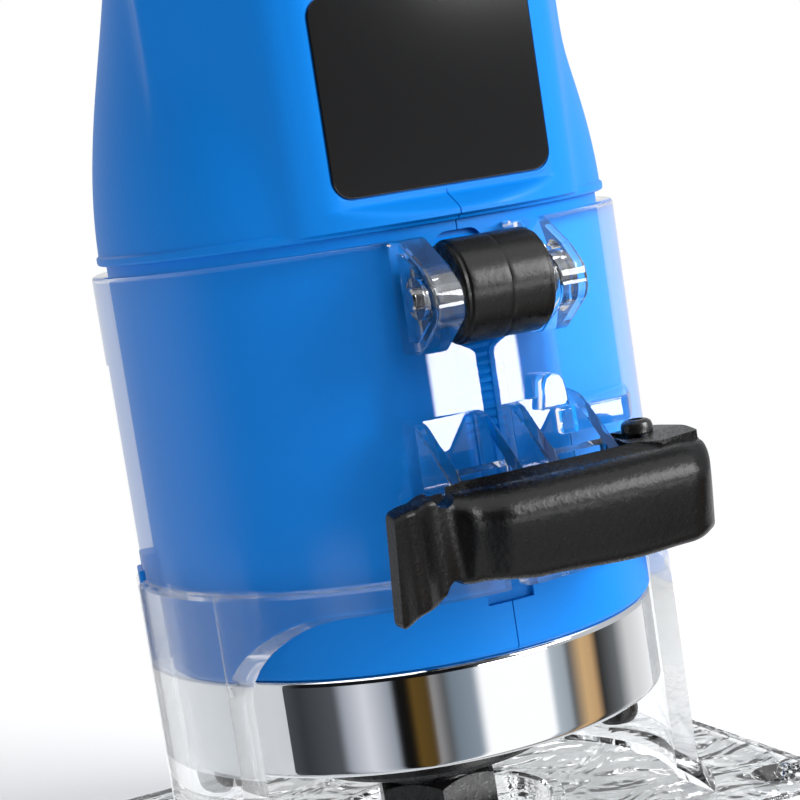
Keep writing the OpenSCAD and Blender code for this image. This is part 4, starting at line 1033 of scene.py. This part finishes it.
@dataclass
class MotorHousing:
    """The blue housing: a round skirt, a shoulder, a faceted front panel and a waisted grip."""

    z_ring: float = 32.0
    z_shoulder: float = 84.2
    z_waist: float = 137.2
    z_head: float = 179.2
    skirt_r: float = 32.2
    shoulder_r: float = 33.3
    waist_r: float = 24.6
    head_r: float = 26.6
    face_y: float = 31.0
    panel_h: float = 31.0
    wall: float = 2.3
    brush_z: float = 124.5
    crease: float = 0.35
    panel_out: float = 34.3
    creases: Point3 = (25.7, 32.8, 66.7)  # angle of each crease from the front
    recess: Opening = (14.4, 88.2, 112.0, 2.6, 2.6)
    lip: Opening = (14.8, 87.8, 112.4, 3.0, 3.0)
    rack_slot: Opening = (3.1, 38, 83.0, 0, 1.6)
    switch_slot: Opening = (6.3, 146.4, 168.0, 1, 1)
    vent: Opening = (1, 163.2, 175.2, 0.95, 0.95)
    planes: tuple[Point2, ...] = ((34.4, 33.99), (58.6, 30.6), (105.2, 24.2))  # angle and distance of each facet

    def grip_r(self, z: float) -> float:
        """Returns the radius of the round body above the shoulder."""
        if z < self.z_waist:
            share = (z - self.z_shoulder) / (self.z_waist - self.z_shoulder)
            return self.waist_r + (self.shoulder_r - 0.3 - self.waist_r) * (1 + math.cos(math.pi * share)) / 2
        share = min(1.0, (z - self.z_waist) / (self.z_head - self.z_waist))
        return self.waist_r + (self.head_r - self.waist_r) * (1 - math.cos(math.pi * share)) / 2

    def soft_min(self, values: list[float]) -> float:
        """Returns the smallest value, rounded where two are close to each other."""
        low = min(values)
        return low - self.crease * math.log(sum(math.exp((low - v) / self.crease) for v in values))

    def panel_r(self, turn: float, z: float) -> float:
        """Returns the radius of the faceted panel at an angle from the front."""
        turn = abs(turn)
        if turn > math.radians(112):
            return 0.0
        facing = [(away, math.cos(turn - math.radians(angle))) for angle, away in self.planes]
        reach = [away / cos for away, cos in facing if cos > 0.2]
        top = self.z_shoulder + self.panel_h
        share = max(0.0, (z - top) / (self.z_waist - top))
        reach.append(self.panel_out + (self.waist_r - 0.5 - self.panel_out) * share)
        return self.soft_min(reach)

    def outer_r(self, turn: float, z: float) -> float:
        """Returns the housing's radius above the shoulder at an angle from the front."""
        radius = -self.soft_min([-self.grip_r(z), -self.panel_r(turn, z)])
        if z < self.z_shoulder + 1.3:
            radius = max(radius, self.shoulder_r)
        if math.cos(turn) > 0.5:
            share = min(1.0, max(0.0, (z - self.z_shoulder - 1.3) / 1.9))
            flat = self.panel_out - (self.panel_out - self.face_y) * share
            radius = self.soft_min([radius, flat / math.cos(turn)])
        return radius

    def columns(self) -> list[float]:
        """Returns the angles of the mesh's columns, closer together at the creases."""
        turns = {round(-180 + 2.0 * i, 3) for i in range(180)}
        for middle in self.creases:
            for off in (-2.6, -1.6, -1.0, -0.5, 0.0, 0.5, 1.0, 1.6, 2.6):
                turns |= {round(middle + off, 3), round(-middle - off, 3)}
        return [math.radians(t) for t in sorted(turns)]

    def rows(self) -> list[tuple[float, float | None]]:
        """Returns each row's height, with its radius where the row is round."""
        rows: list[tuple[float, float | None]] = [(self.z_ring, 31.8), (self.z_ring + 0.3, 32.1)]
        rows.append((self.z_ring + 0.5, self.skirt_r))
        rows += [(self.z_ring + 2 + 2.5 * i, self.skirt_r) for i in range(20)]
        rows += [(self.z_shoulder - 0.01, self.skirt_r), (self.z_shoulder, self.shoulder_r - 0.35)]
        rows += [(self.z_shoulder + 0.1, self.shoulder_r - 0.12), (self.z_shoulder + 0.35, self.shoulder_r)]
        close = (0.7, 1.0, 1.3, 1.5, 1.7, 2.0, 2.3, 2.6, 2.9, 3.1, 3.3, 3.6, 4.0)
        rows += [(self.z_shoulder + rise, None) for rise in close]
        z = self.z_shoulder + 4.6
        while z < self.z_head - 0.3:
            rows.append((z, None))
            z += 0.7 if self.z_shoulder + 29 < z < self.z_waist else 1.5
        return rows + [(self.z_head, None)]

    def skin_solid(self) -> bpy.types.Object:
        """Returns the housing as a solid, before it is hollowed."""
        bm = bmesh.new()
        turns = self.columns()
        grid = []
        for z, fixed in self.rows():
            ring = []
            for t in turns:
                r = fixed if fixed is not None else self.outer_r(t, z)
                ring.append(bm.verts.new((r * math.sin(t), -r * math.cos(t), z)))
            grid.append(ring)
        count = len(turns)
        for a, b in zip(grid, grid[1:]):
            for i in range(count):
                j = (i + 1) % count
                bm.faces.new((a[i], a[j], b[j], b[i]))
        bm.faces.new(grid[0])
        bm.faces.new(grid[-1])
        return new_object("skin", bm)

    def hollow_tool(self) -> bpy.types.Object:
        """Returns the inside of the housing."""
        inner = self.skirt_r - self.wall
        profile = [(0, self.z_ring - 1), (inner, self.z_ring - 1), (inner, self.z_shoulder)]
        z = self.z_shoulder
        while z < self.z_head:
            profile.append((min(self.grip_r(z) - self.wall, 28.9), z + 0.5))
            z += 4
        profile += [(self.grip_r(self.z_head) - self.wall, self.z_head + 1), (0, self.z_head + 1)]
        return turned("hollow", profile, segments=96)

    def key_rib(self) -> bpy.types.Object:
        """Returns the stepped rib that stops the motor turning in the base."""
        rib = prism("rib", upright(2.7, -34.7, -31, 0.4, 0), 32.6, 44.6, edge=0.25)
        step = prism("step", upright(2.7, -34.1, -31, 0.4, 0), 40, 46.6, edge=0.25)
        return spin(unite(rib, step), KEY_DEG)

    def build(self) -> bpy.types.Object:
        """Returns the finished housing."""
        body = self.skin_solid()
        unite(body, self.key_rib())
        carve(body, self.hollow_tool())
        carve(body, prism("recess", upright(*self.recess, 10), -FAR, -self.face_y + 0.5, Axis.Y))
        carve(body, prism("lip", upright(*self.lip, 10), -FAR, -self.face_y + 0.12, Axis.Y))
        carve(body, prism("rack", upright(*self.rack_slot), -FAR, -31.2, Axis.Y))
        seam = block((-0.07, -FAR, 30), (0.07, -31.75, 84))
        carve(body, seam, block((-0.07, -FAR, 84), (0.07, -30.85, 88)))
        for start, end in ((18, 60), (-60, -18)):
            carve(body, rod(5.55, start, end, Axis.X, (0, 0, self.brush_z)))
        carve(body, prism("switch", upright(*self.switch_slot), -FAR, -22.4, Axis.Y))
        carve(body, block((-2.8, -FAR, 151.4), (2.8, -16, 163.0)))
        for y, z in ((15, 140.2), (15, 172.2), (-15, 135.2)):
            carve(body, rod(3.0, 13, 60, Axis.X, (0, y, z)))
        for side in (-1, 1):
            for i in range(5):
                vent = prism("vent", upright(*self.vent), -60, -12, Axis.Y)
                carve(body, spin(vent, side * (62 + 12 * i)))
        return as_piece(body, "motor_housing", 24, even=False)

    def build_rack(self, wardrobe: Wardrobe) -> bpy.types.Object:
        """Returns the rack's teeth, as one row of moulded ribs."""
        outline = [(-31.6, 0.0), (-31.1, 0.0), (-31.1, 1.0), (-31.25, 1.0), (-31.68, 0.45)]
        tooth = shift(prism("tooth", outline, -3.05, 3.05, Axis.X), (0, 0, 58.2))
        row = repeated("rack", tooth, Pattern.ROW, wardrobe.get(BLUE_ABS), 23, pitch=(0, 0, 1.05))
        return as_piece(row, "rack_teeth")


@dataclass
class Nose:
    """The polished nose ring, the bearing cover, its screws, the slinger and the collet nut."""

    z: float = 19.6
    top: float = 32.0
    r: float = 32.0

    def build_ring(self) -> bpy.types.Object:
        """Returns the ring with its bright chamfers, and its end wall with the air outlets."""
        z, t, r = self.z, self.top, self.r
        profile = [(9, z), (r - 0.6, z), (r - 0.42, z + 0.06), (r - 0.06, z + 0.42), (r, z + 0.6)]
        profile += [(r, z + 1.0), (r, t - 1.0), (r, t - 0.6), (r - 0.06, t - 0.42), (r - 0.42, t - 0.06)]
        profile += [(r - 0.6, t), (29.8, t), (29.8, t + 3), (27.8, t + 3), (27.8, z + 3), (16, z + 3)]
        profile += [(16, z + 11), (13, z + 11), (13, z + 3), (9, z + 3)]
        ring = turned("ring", profile, segments=360)
        for i in range(9):
            turn = math.radians(17.5 + 40 * i)
            carve(ring, rod(3.2, 10, 60, Axis.Z, (22 * math.sin(turn), -22 * math.cos(turn), 0)))
        return as_piece(ring, "polished_nose_ring")

    def build_cover(self) -> bpy.types.Object:
        """Returns the dished bearing cover."""
        z = self.z
        profile = [(9, z - 5.5), (9.4, z - 5.9), (15.7, z - 5.9), (16.2, z - 5.7), (16.5, z - 5.2)]
        profile += [(16.5, z - 3.9), (16.1, z - 3.6), (16.1, z - 2.9), (16.5, z - 2.6), (16.5, z), (9, z)]
        return as_piece(turned("cover", profile), "black_bearing_cover")

    def build_screws(self, wardrobe: Wardrobe) -> bpy.types.Object:
        """Returns the three pan heads, repeated round the axis."""
        z = self.z
        profile = [(0, z + 1), (2.8, z + 0.01), (2.8, z - 1.2), (2.6, z - 2.0), (2.1, z - 2.6)]
        profile += [(1.5, z - 2.8), (0, z - 2.8)]
        head = turned("head", profile, segments=48)
        carve(head, rod(1.3, z - 4, z - 1.4, Axis.Z, (0, 0, 0), 6))
        ring = repeated("heads", head, Pattern.RING, wardrobe.get(BLACK_OXIDE), 3, radius=28.0, start_deg=37.5)
        return as_piece(ring, "nose_screw_heads")

    def build_slinger(self) -> bpy.types.Object:
        """Returns the ribbed collar above the collet nut."""
        profile = [(6.4, 11.1), (8.1, 11.1), (8.4, 11.4)]
        for i in range(3):
            z = 11.9 + 1.25 * i
            profile += [(8.4, z), (7.7, z + 0.15), (7.7, z + 0.55), (8.4, z + 0.7)]
        profile += [(8.4, 15.5), (6.4, 15.7)]
        return as_piece(turned("slinger", profile), "ribbed_slinger")

    def build_nut(self) -> bpy.types.Object:
        """Returns the chamfered hexagon nut, in its own bore."""
        corner = 15 / math.sqrt(3)
        nut = turned("nut", [(0, 1.2), (corner, 1.2), (corner, 10.6), (0, 10.6)], segments=6)
        spin(nut, -18)
        cone = [(0, 1.2), (7.5, 1.2), (8.6, 2.0), (9.5, 2.4), (9.5, 9.2), (7.4, 10.6), (0, 10.6)]
        combine(nut, Combine.COMMON, turned("cone", cone, segments=96))
        bore = [(0, 0), (4.2, 0), (4.2, 1.2), (3.9, 1.5), (3.9, 3.6), (6.48, 3.6), (6.48, 12), (0, 12)]
        return as_piece(carve(nut, turned("bore", bore, segments=96)), "hexagon_collet_nut")


@dataclass
class TopEnd:
    """The domed cap, the cord inlet and the switch's slider."""

    z_head: float = 179.2
    z_top: float = 199.2
    dome: Point2 = (8.4, 18.2)  # radius of the flat round the inlet, and width of the dome beyond it

    def build_cap(self) -> bpy.types.Object:
        """Returns the domed cap."""
        z = self.z_top
        rise, (flat, wide) = z - 6.8 - self.z_head, self.dome
        turns = [math.pi / 2 * i / 24 for i in range(25)]
        outer = [(flat + wide * math.cos(t), self.z_head + rise * math.sin(t)) for t in turns]
        inner = [(6.0 + wide * math.cos(t), self.z_head + (rise - 2.4) * math.sin(t)) for t in turns]
        profile = [(26.3, self.z_head)] + outer[1:] + [(5.4, z - 6.8), (5.4, z - 9.2)] + inner[::-1]
        return as_piece(turned("cap", profile), "domed_top_cap")

    def build_inlet(self) -> bpy.types.Object:
        """Returns the ringed cord inlet."""
        z = self.z_top
        profile = [(3.6, z - 9.2), (5.4, z - 9.2), (5.4, z - 6.8), (6.4, z - 6.8), (6.3, z - 5.2), (5.9, z - 5.0)]
        profile += [(5.9, z - 4.4), (6.2, z - 4.2), (6.0, z - 2.4), (5.6, z - 2.2), (5.6, z - 1.6), (5.9, z - 1.4)]
        profile += [(5.7, z - 0.3), (5.4, z), (3.9, z), (3.6, z - 0.3)]
        return as_piece(turned("inlet", profile, segments=96), "cord_inlet_collar")

    def build_slider(self, wardrobe: Wardrobe) -> bpy.types.Object:
        """Returns the slider's thumb pad with its row of ridges."""
        body = prism("pad", upright(5.5, 147.2, 162.2, 1, 1), -25.2, -22.7, Axis.Y, edge=0.3)
        unite(body, block((-2, -23, 152.2), (2, -18.4, 157.2)))
        outline = rounded([(-25.9, 0, 0.3), (-25, 0, 0), (-25, 1.1, 0), (-25.9, 1.1, 0.3)], 3)
        ridge = shift(prism("ridge", outline, -4.6, 4.6, Axis.X), (0, 0, 149.0))
        row = repeated("ridges", ridge, Pattern.ROW, wardrobe.get(BLACK_NYLON), 6, pitch=(0, 0, 2.1))
        return as_piece(unite(body, row), "switch_thumb_pad")


# ------------------------------------------------------------------ studio


@dataclass(frozen=True)
class Studio:
    """A pale floor, a room that lights from the right, cards that only gloss shows, and soft lamps."""

    dim: float = 0.32  # the room's level on the left
    bright: float = 0.95  # its level on the right
    glass_gain: float = 1.25  # how much more light passes into the clear plastic
    card_gain: float = 1.27
    strip: Point2 = (5.0, 38.0)  # the strip's sides, in degrees from the front
    strip_z: Point2 = (-0.09, -0.15)  # its upper and lower edge, as the height of the ray's direction
    strip_soft: Point2 = (2.0, 0.01)
    strip_gain: float = 18.0
    crown: Point2 = (0.5, 0.7)
    crown_gain: float = 2.4
    fade: Point2 = (0.12, 0.3)  # where the floor starts to turn white, and where it is white, in metres
    cards_end: Point2 = (-0.19, -0.16)
    crown_ahead: Point2 = (0.1, -0.2)
    light_back: Point2 = (-0.2, 0.5)
    light_right: Point2 = (-0.1, 0.9)
    level_end: float = 0.9
    cards: tuple[tuple[float, str], ...] = (
        (-180.0, "#A8A8AA"),
        (-170.0, "#8A8A8C"),
        (-140.0, "#D4D4D6"),
        (-132.0, "#A6A6A8"),
        (-110.0, "#C4C4C6"),
        (-97.0, "#B0B0B2"),
        (-90.0, "#46494C"),
        (-82.0, "#34373B"),
        (-64.0, "#4E5054"),
        (-60.0, "#9A9EA6"),
        (-50.0, "#CFD0D6"),
        (-38.0, "#8E939B"),
        (-35.0, "#101010"),
        (-30.0, "#14120F"),
        (-27.0, "#5C4620"),
        (-20.0, "#4E3C1C"),
        (-18.0, "#8E8C8C"),
        (-13.0, "#565758"),
        (-9.0, "#717D87"),
        (1.0, "#858F9A"),
        (5.0, "#FFFFFF"),
        (38.0, "#FFFFFF"),
        (41.0, "#A9B2BA"),
        (48.0, "#98A0A6"),
        (51.0, "#5A5C5E"),
        (59.0, "#C9A678"),
        (65.0, "#BE9A70"),
        (70.0, "#2E2E2E"),
        (83.0, "#66686A"),
        (94.0, "#C8C8C8"),
        (122.0, "#EEEEEE"),
        (150.0, "#E2E2E3"),
    )

    def build_floor(self) -> None:
        """Adds the floor, which takes the shadow, turns white with distance and is not seen in gloss."""
        bm = bmesh.new()
        bmesh.ops.create_grid(bm, x_segments=1, y_segments=1, size=2.5)
        mesh = bpy.data.meshes.new("floor")
        bm.to_mesh(mesh)
        bm.free()
        floor = bpy.data.objects.new("floor", mesh)
        mesh.transform(Matrix.Translation((0, 0, -0.3 * MM)))
        bpy.context.scene.collection.objects.link(floor)
        material, tree = empty_material("pale paper")
        path = add_node(tree, "ShaderNodeLightPath")
        place = add_node(tree, "ShaderNodeTexCoord").outputs["Object"]
        reach = add_node(tree, "ShaderNodeVectorMath", {0: place}, operation="LENGTH").outputs["Value"]
        far = ease(tree, reach, *self.fade)
        paper = add_node(tree, "ShaderNodeBsdfDiffuse", {"Color": linear("#FCFCFC")})
        white = add_node(tree, "ShaderNodeEmission", {"Color": linear("#FFFFFF"), "Strength": 1.0})
        clear = add_node(tree, "ShaderNodeBsdfTransparent")
        faded = add_node(tree, "ShaderNodeMixShader", {0: far, 1: paper.outputs[0], 2: white.outputs[0]})
        mirrored = maths(tree, "GREATER_THAN", path.outputs["Glossy Depth"], 0.5)
        mixed = add_node(tree, "ShaderNodeMixShader", {0: mirrored, 1: faded.outputs[0], 2: clear.outputs[0]})
        add_node(tree, "ShaderNodeOutputMaterial", {"Surface": mixed.outputs[0]})
        mesh.materials.append(material)

    def card_colours(self, tree: bpy.types.NodeTree, way: bpy.types.Node) -> bpy.types.NodeSocket:
        """Returns what gloss sees: low cards all round, a dark room above, a soft strip and a card overhead.

        Args:
            tree: The world's node tree.
            way: The node that splits the ray's direction.

        Returns:
            The colour socket.
        """
        front = maths(tree, "MULTIPLY", way.outputs["Y"], -1.0)
        turn = maths(tree, "ARCTAN2", way.outputs["X"], front)
        share = ramp_up(tree, turn, -math.pi, math.pi)
        ramp = add_node(tree, "ShaderNodeValToRGB", {0: share})
        stops = ramp.color_ramp.elements
        for index, (angle, colour) in enumerate(self.cards):
            spot = (angle + 180) / 360
            stop = stops[index] if index < 2 else stops.new(spot)
            stop.position = spot
            stop.color = linear(colour)
        gain = {0: ramp.outputs["Color"], "Scale": self.card_gain}
        lifted = add_node(tree, "ShaderNodeVectorMath", gain, operation="SCALE").outputs[0]
        left, right = (self.step(tree, turn, angle, self.strip_soft[0]) for angle in self.strip)
        upper, lower = self.strip_z
        soft = self.strip_soft[1]
        in_strip = maths(tree, "SUBTRACT", left, right)
        in_strip = maths(tree, "MULTIPLY", in_strip, ease(tree, way.outputs["Z"], upper + soft, upper))
        in_strip = maths(tree, "MULTIPLY", in_strip, ease(tree, way.outputs["Z"], lower - soft, lower))
        room = self.room_colour(tree, way, "#141518", "#D0D2D4")
        seen = blend_colours(tree, ease(tree, way.outputs["Z"], *self.cards_end), lifted, room)
        overhead = ease(tree, way.outputs["Z"], *self.crown)
        crown = maths(tree, "MULTIPLY", overhead, ease(tree, way.outputs["Y"], *self.crown_ahead))
        seen = blend_colours(tree, crown, seen, (self.crown_gain,) * 3 + (1.0,))
        return blend_colours(tree, in_strip, seen, (self.strip_gain,) * 3 + (1.0,))

    def step(
        self, tree: bpy.types.NodeTree, turn: bpy.types.NodeSocket, angle: float, soft: float
    ) -> bpy.types.NodeSocket:
        """Returns 0 to 1 as the turn passes an angle in degrees, over a soft edge."""
        return ease(tree, turn, math.radians(angle - soft / 2), math.radians(angle + soft / 2))

    def room_colour(
        self, tree: bpy.types.NodeTree, way: bpy.types.Node, dark: str, light: str
    ) -> bpy.types.NodeSocket:
        """Returns a room that is dark at the front left and light behind and on the right."""
        back = ease(tree, way.outputs["Y"], *self.light_back)
        right = ease(tree, way.outputs["X"], *self.light_right)
        lit = maths(tree, "MAXIMUM", back, right)
        return blend_colours(tree, lit, linear(dark), linear(light))

    def build_room(self) -> None:
        """Sets the world: brighter from the right for light, white for the view, cards for gloss."""
        world = bpy.data.worlds.new("room")
        bpy.context.scene.world = world
        world.use_nodes = True
        world.cycles.sampling_method = "NONE"  # each ray type sees its own room, so none is sampled ahead
        tree = world.node_tree
        tree.nodes.clear()
        direction = add_node(tree, "ShaderNodeTexCoord").outputs["Generated"]
        way = add_node(tree, "ShaderNodeSeparateXYZ", {0: direction})
        across = {"Value": way.outputs["X"], "From Min": -self.level_end, "From Max": self.level_end}
        across |= {"To Min": self.dim, "To Max": self.bright}
        level = add_node(tree, "ShaderNodeMapRange", across).outputs[0]
        path = add_node(tree, "ShaderNodeLightPath")
        depths = [path.outputs[f"{kind} Depth"] for kind in ("Diffuse", "Glossy", "Transmission")]
        diffuse, glossy, inside = (maths(tree, "GREATER_THAN", depth, 0.5) for depth in depths)
        straight = maths(tree, "LESS_THAN", maths(tree, "ADD", depths[0], depths[1]), 0.5)
        within_plastic = self.room_colour(tree, way, "#C6C8CB", "#F6F7F8")
        gloss = blend_colours(tree, inside, self.card_colours(tree, way), within_plastic)
        colour = blend_colours(tree, glossy, level, gloss)
        lit = maths(tree, "MULTIPLY", level, remap(tree, inside, 1.0, self.glass_gain))
        colour = blend_colours(tree, diffuse, colour, lit)
        colour = blend_colours(tree, straight, colour, (1.0, 1.0, 1.0, 1.0))
        back = add_node(tree, "ShaderNodeBackground", {"Color": colour, "Strength": 1.0})
        add_node(tree, "ShaderNodeOutputWorld", {"Surface": back.outputs[0]})

    def add_lamp(self, name: str, at: Point3, size: Point2, watts: float, aim: Point3 = (0, 0, 0.07)) -> None:
        """Adds a rectangular soft lamp.

        Args:
            name: Name of the lamp.
            at: Its place in metres.
            size: Its width and height in metres.
            watts: Its power.
            aim: The point it faces.
        """
        data = bpy.data.lights.new(name, "AREA")
        data.shape = "RECTANGLE"
        data.size, data.size_y = size
        data.energy = watts
        lamp = bpy.data.objects.new(name, data)
        lamp.location = at
        lamp.rotation_euler = (Vector(aim) - Vector(at)).to_track_quat("-Z", "Y").to_euler()
        bpy.context.scene.collection.objects.link(lamp)

    def build(self) -> None:
        """Builds the whole studio."""
        self.build_floor()
        self.build_room()
        self.add_lamp("key", (0.6, -0.75, 0.42), (0.5, 0.5), 12.0)
        self.add_lamp("back", (0.2, 1.1, 0.9), (1.0, 0.6), 5.0)


@dataclass(frozen=True)
class ViewPoint:
    """The camera: its place in metres, its turn in degrees and its lens."""

    place: Point3 = (-0.10878, -0.26199, 0.09366)
    yaw: float = 23.15
    pitch: float = -6.65
    roll: float = -8.74
    lens: float = 97.03

    def build(self) -> None:
        """Adds the camera and makes it the scene's."""
        yaw, pitch, roll = (math.radians(a) for a in (self.yaw, self.pitch, self.roll))
        ahead = Vector((math.sin(yaw) * math.cos(pitch), math.cos(yaw) * math.cos(pitch), math.sin(pitch)))
        right = ahead.cross(Vector((0, 0, 1))).normalized()
        up = right.cross(ahead)
        right_r = math.cos(roll) * right + math.sin(roll) * up
        up_r = -math.sin(roll) * right + math.cos(roll) * up
        data = bpy.data.cameras.new("camera")
        data.lens = self.lens
        data.sensor_width = 36.0
        data.clip_start = 0.005
        camera = bpy.data.objects.new("camera", data)
        turn = Matrix((right_r, up_r, -ahead)).transposed().to_4x4()
        camera.matrix_world = Matrix.Translation(self.place) @ turn
        bpy.context.scene.collection.objects.link(camera)
        bpy.context.scene.camera = camera


HIDDEN_NODES: tuple[tuple[str, Finish], ...] = (
    ("tension_bolt", BRIGHT_STEEL),
    ("clamp_nut", BLACK_OXIDE),
    ("switch_body", BLACK_NYLON),
    ("brush_caps", BLACK_NYLON),
    ("brush_holders", BRASS),
    ("carbon_brushes", GRAPHITE),
    ("brush_springs", BRIGHT_STEEL),
    ("case_screws", BLACK_OXIDE),
    ("fan_baffle", BLACK_NYLON),
    ("stator_core", LAMINATED),
    ("field_coils", ENAMELLED),
    ("lower_bearing_outer", BRIGHT_STEEL),
    ("lower_bearing_balls", BRIGHT_STEEL),
    ("lower_bearing_inner", BRIGHT_STEEL),
    ("upper_bearing_outer", BRIGHT_STEEL),
    ("upper_bearing_balls", BRIGHT_STEEL),
    ("upper_bearing_inner", BRIGHT_STEEL),
    ("spindle", BRIGHT_STEEL),
    ("fan", BLACK_NYLON),
    ("armature_core", LAMINATED),
    ("armature_coils", ENAMELLED),
    ("commutator", COPPER),
    ("collet", BRIGHT_STEEL),
)


def main() -> None:
    """Builds and dresses the router, then the studio and the camera."""
    logging.basicConfig(level=logging.INFO, format="%(message)s")
    wear = Wardrobe()
    ViewPoint().build()
    Studio().build()
    wear.place(ClearBase().build(), "root", "clear_polycarbonate", CLEAR, ("base",))
    roller = DepthRoller()
    wear.place(roller.build_roller(), "depth_roller", "black_rubber", BLACK_RUBBER, ("roller",))
    wear.place(roller.build_axle(), "root", "steel", BRIGHT_STEEL, ("roller_axle",))
    lever = ClampLever()
    wear.place(lever.build(), "lever", "black_nylon", BLACK_NYLON, ("clamp_lever",))
    wear.place(lever.build_screw(), "root", "black_steel", BLACK_OXIDE, ("pivot_screw",))
    housing = MotorHousing()
    wear.place(housing.build(), "motor", "blue_abs", BLUE_ABS, ("housing_left", "housing_right"))
    wear.place(housing.build_rack(wear), "motor", "blue_abs", BLUE_ABS)
    wear.place(RatingPlate().build(), "motor", "black_label", BLACK_FOIL, ("rating_plate",))
    nose = Nose()
    wear.place(nose.build_ring(), "motor", "polished_aluminium", POLISHED, ("nose_ring",))
    wear.place(nose.build_cover(), "motor", "black_steel", BLACK_OXIDE, ("bearing_cover",))
    wear.place(nose.build_screws(wear), "motor", "black_steel", BLACK_OXIDE, ("nose_screws",))
    wear.place(nose.build_slinger(), "rotor", "black_steel", BLACK_OXIDE, ("slinger",))
    wear.place(nose.build_nut(), "nut", "black_steel", BLACK_OXIDE, ("collet_nut",))
    top = TopEnd()
    wear.place(top.build_cap(), "motor", "blue_abs", BLUE_ABS, ("top_cap",))
    wear.place(top.build_inlet(), "motor", "black_nylon", BLACK_NYLON, ("cord_inlet",))
    wear.place(top.build_slider(wear), "switch_button", "black_nylon", BLACK_NYLON, ("switch_slider",))
    for name, finish in HIDDEN_NODES:
        wear.dress_node(name, finish)
    bpy.context.scene.view_settings.view_transform = "Standard"


if __name__ == "__main__":
    main()
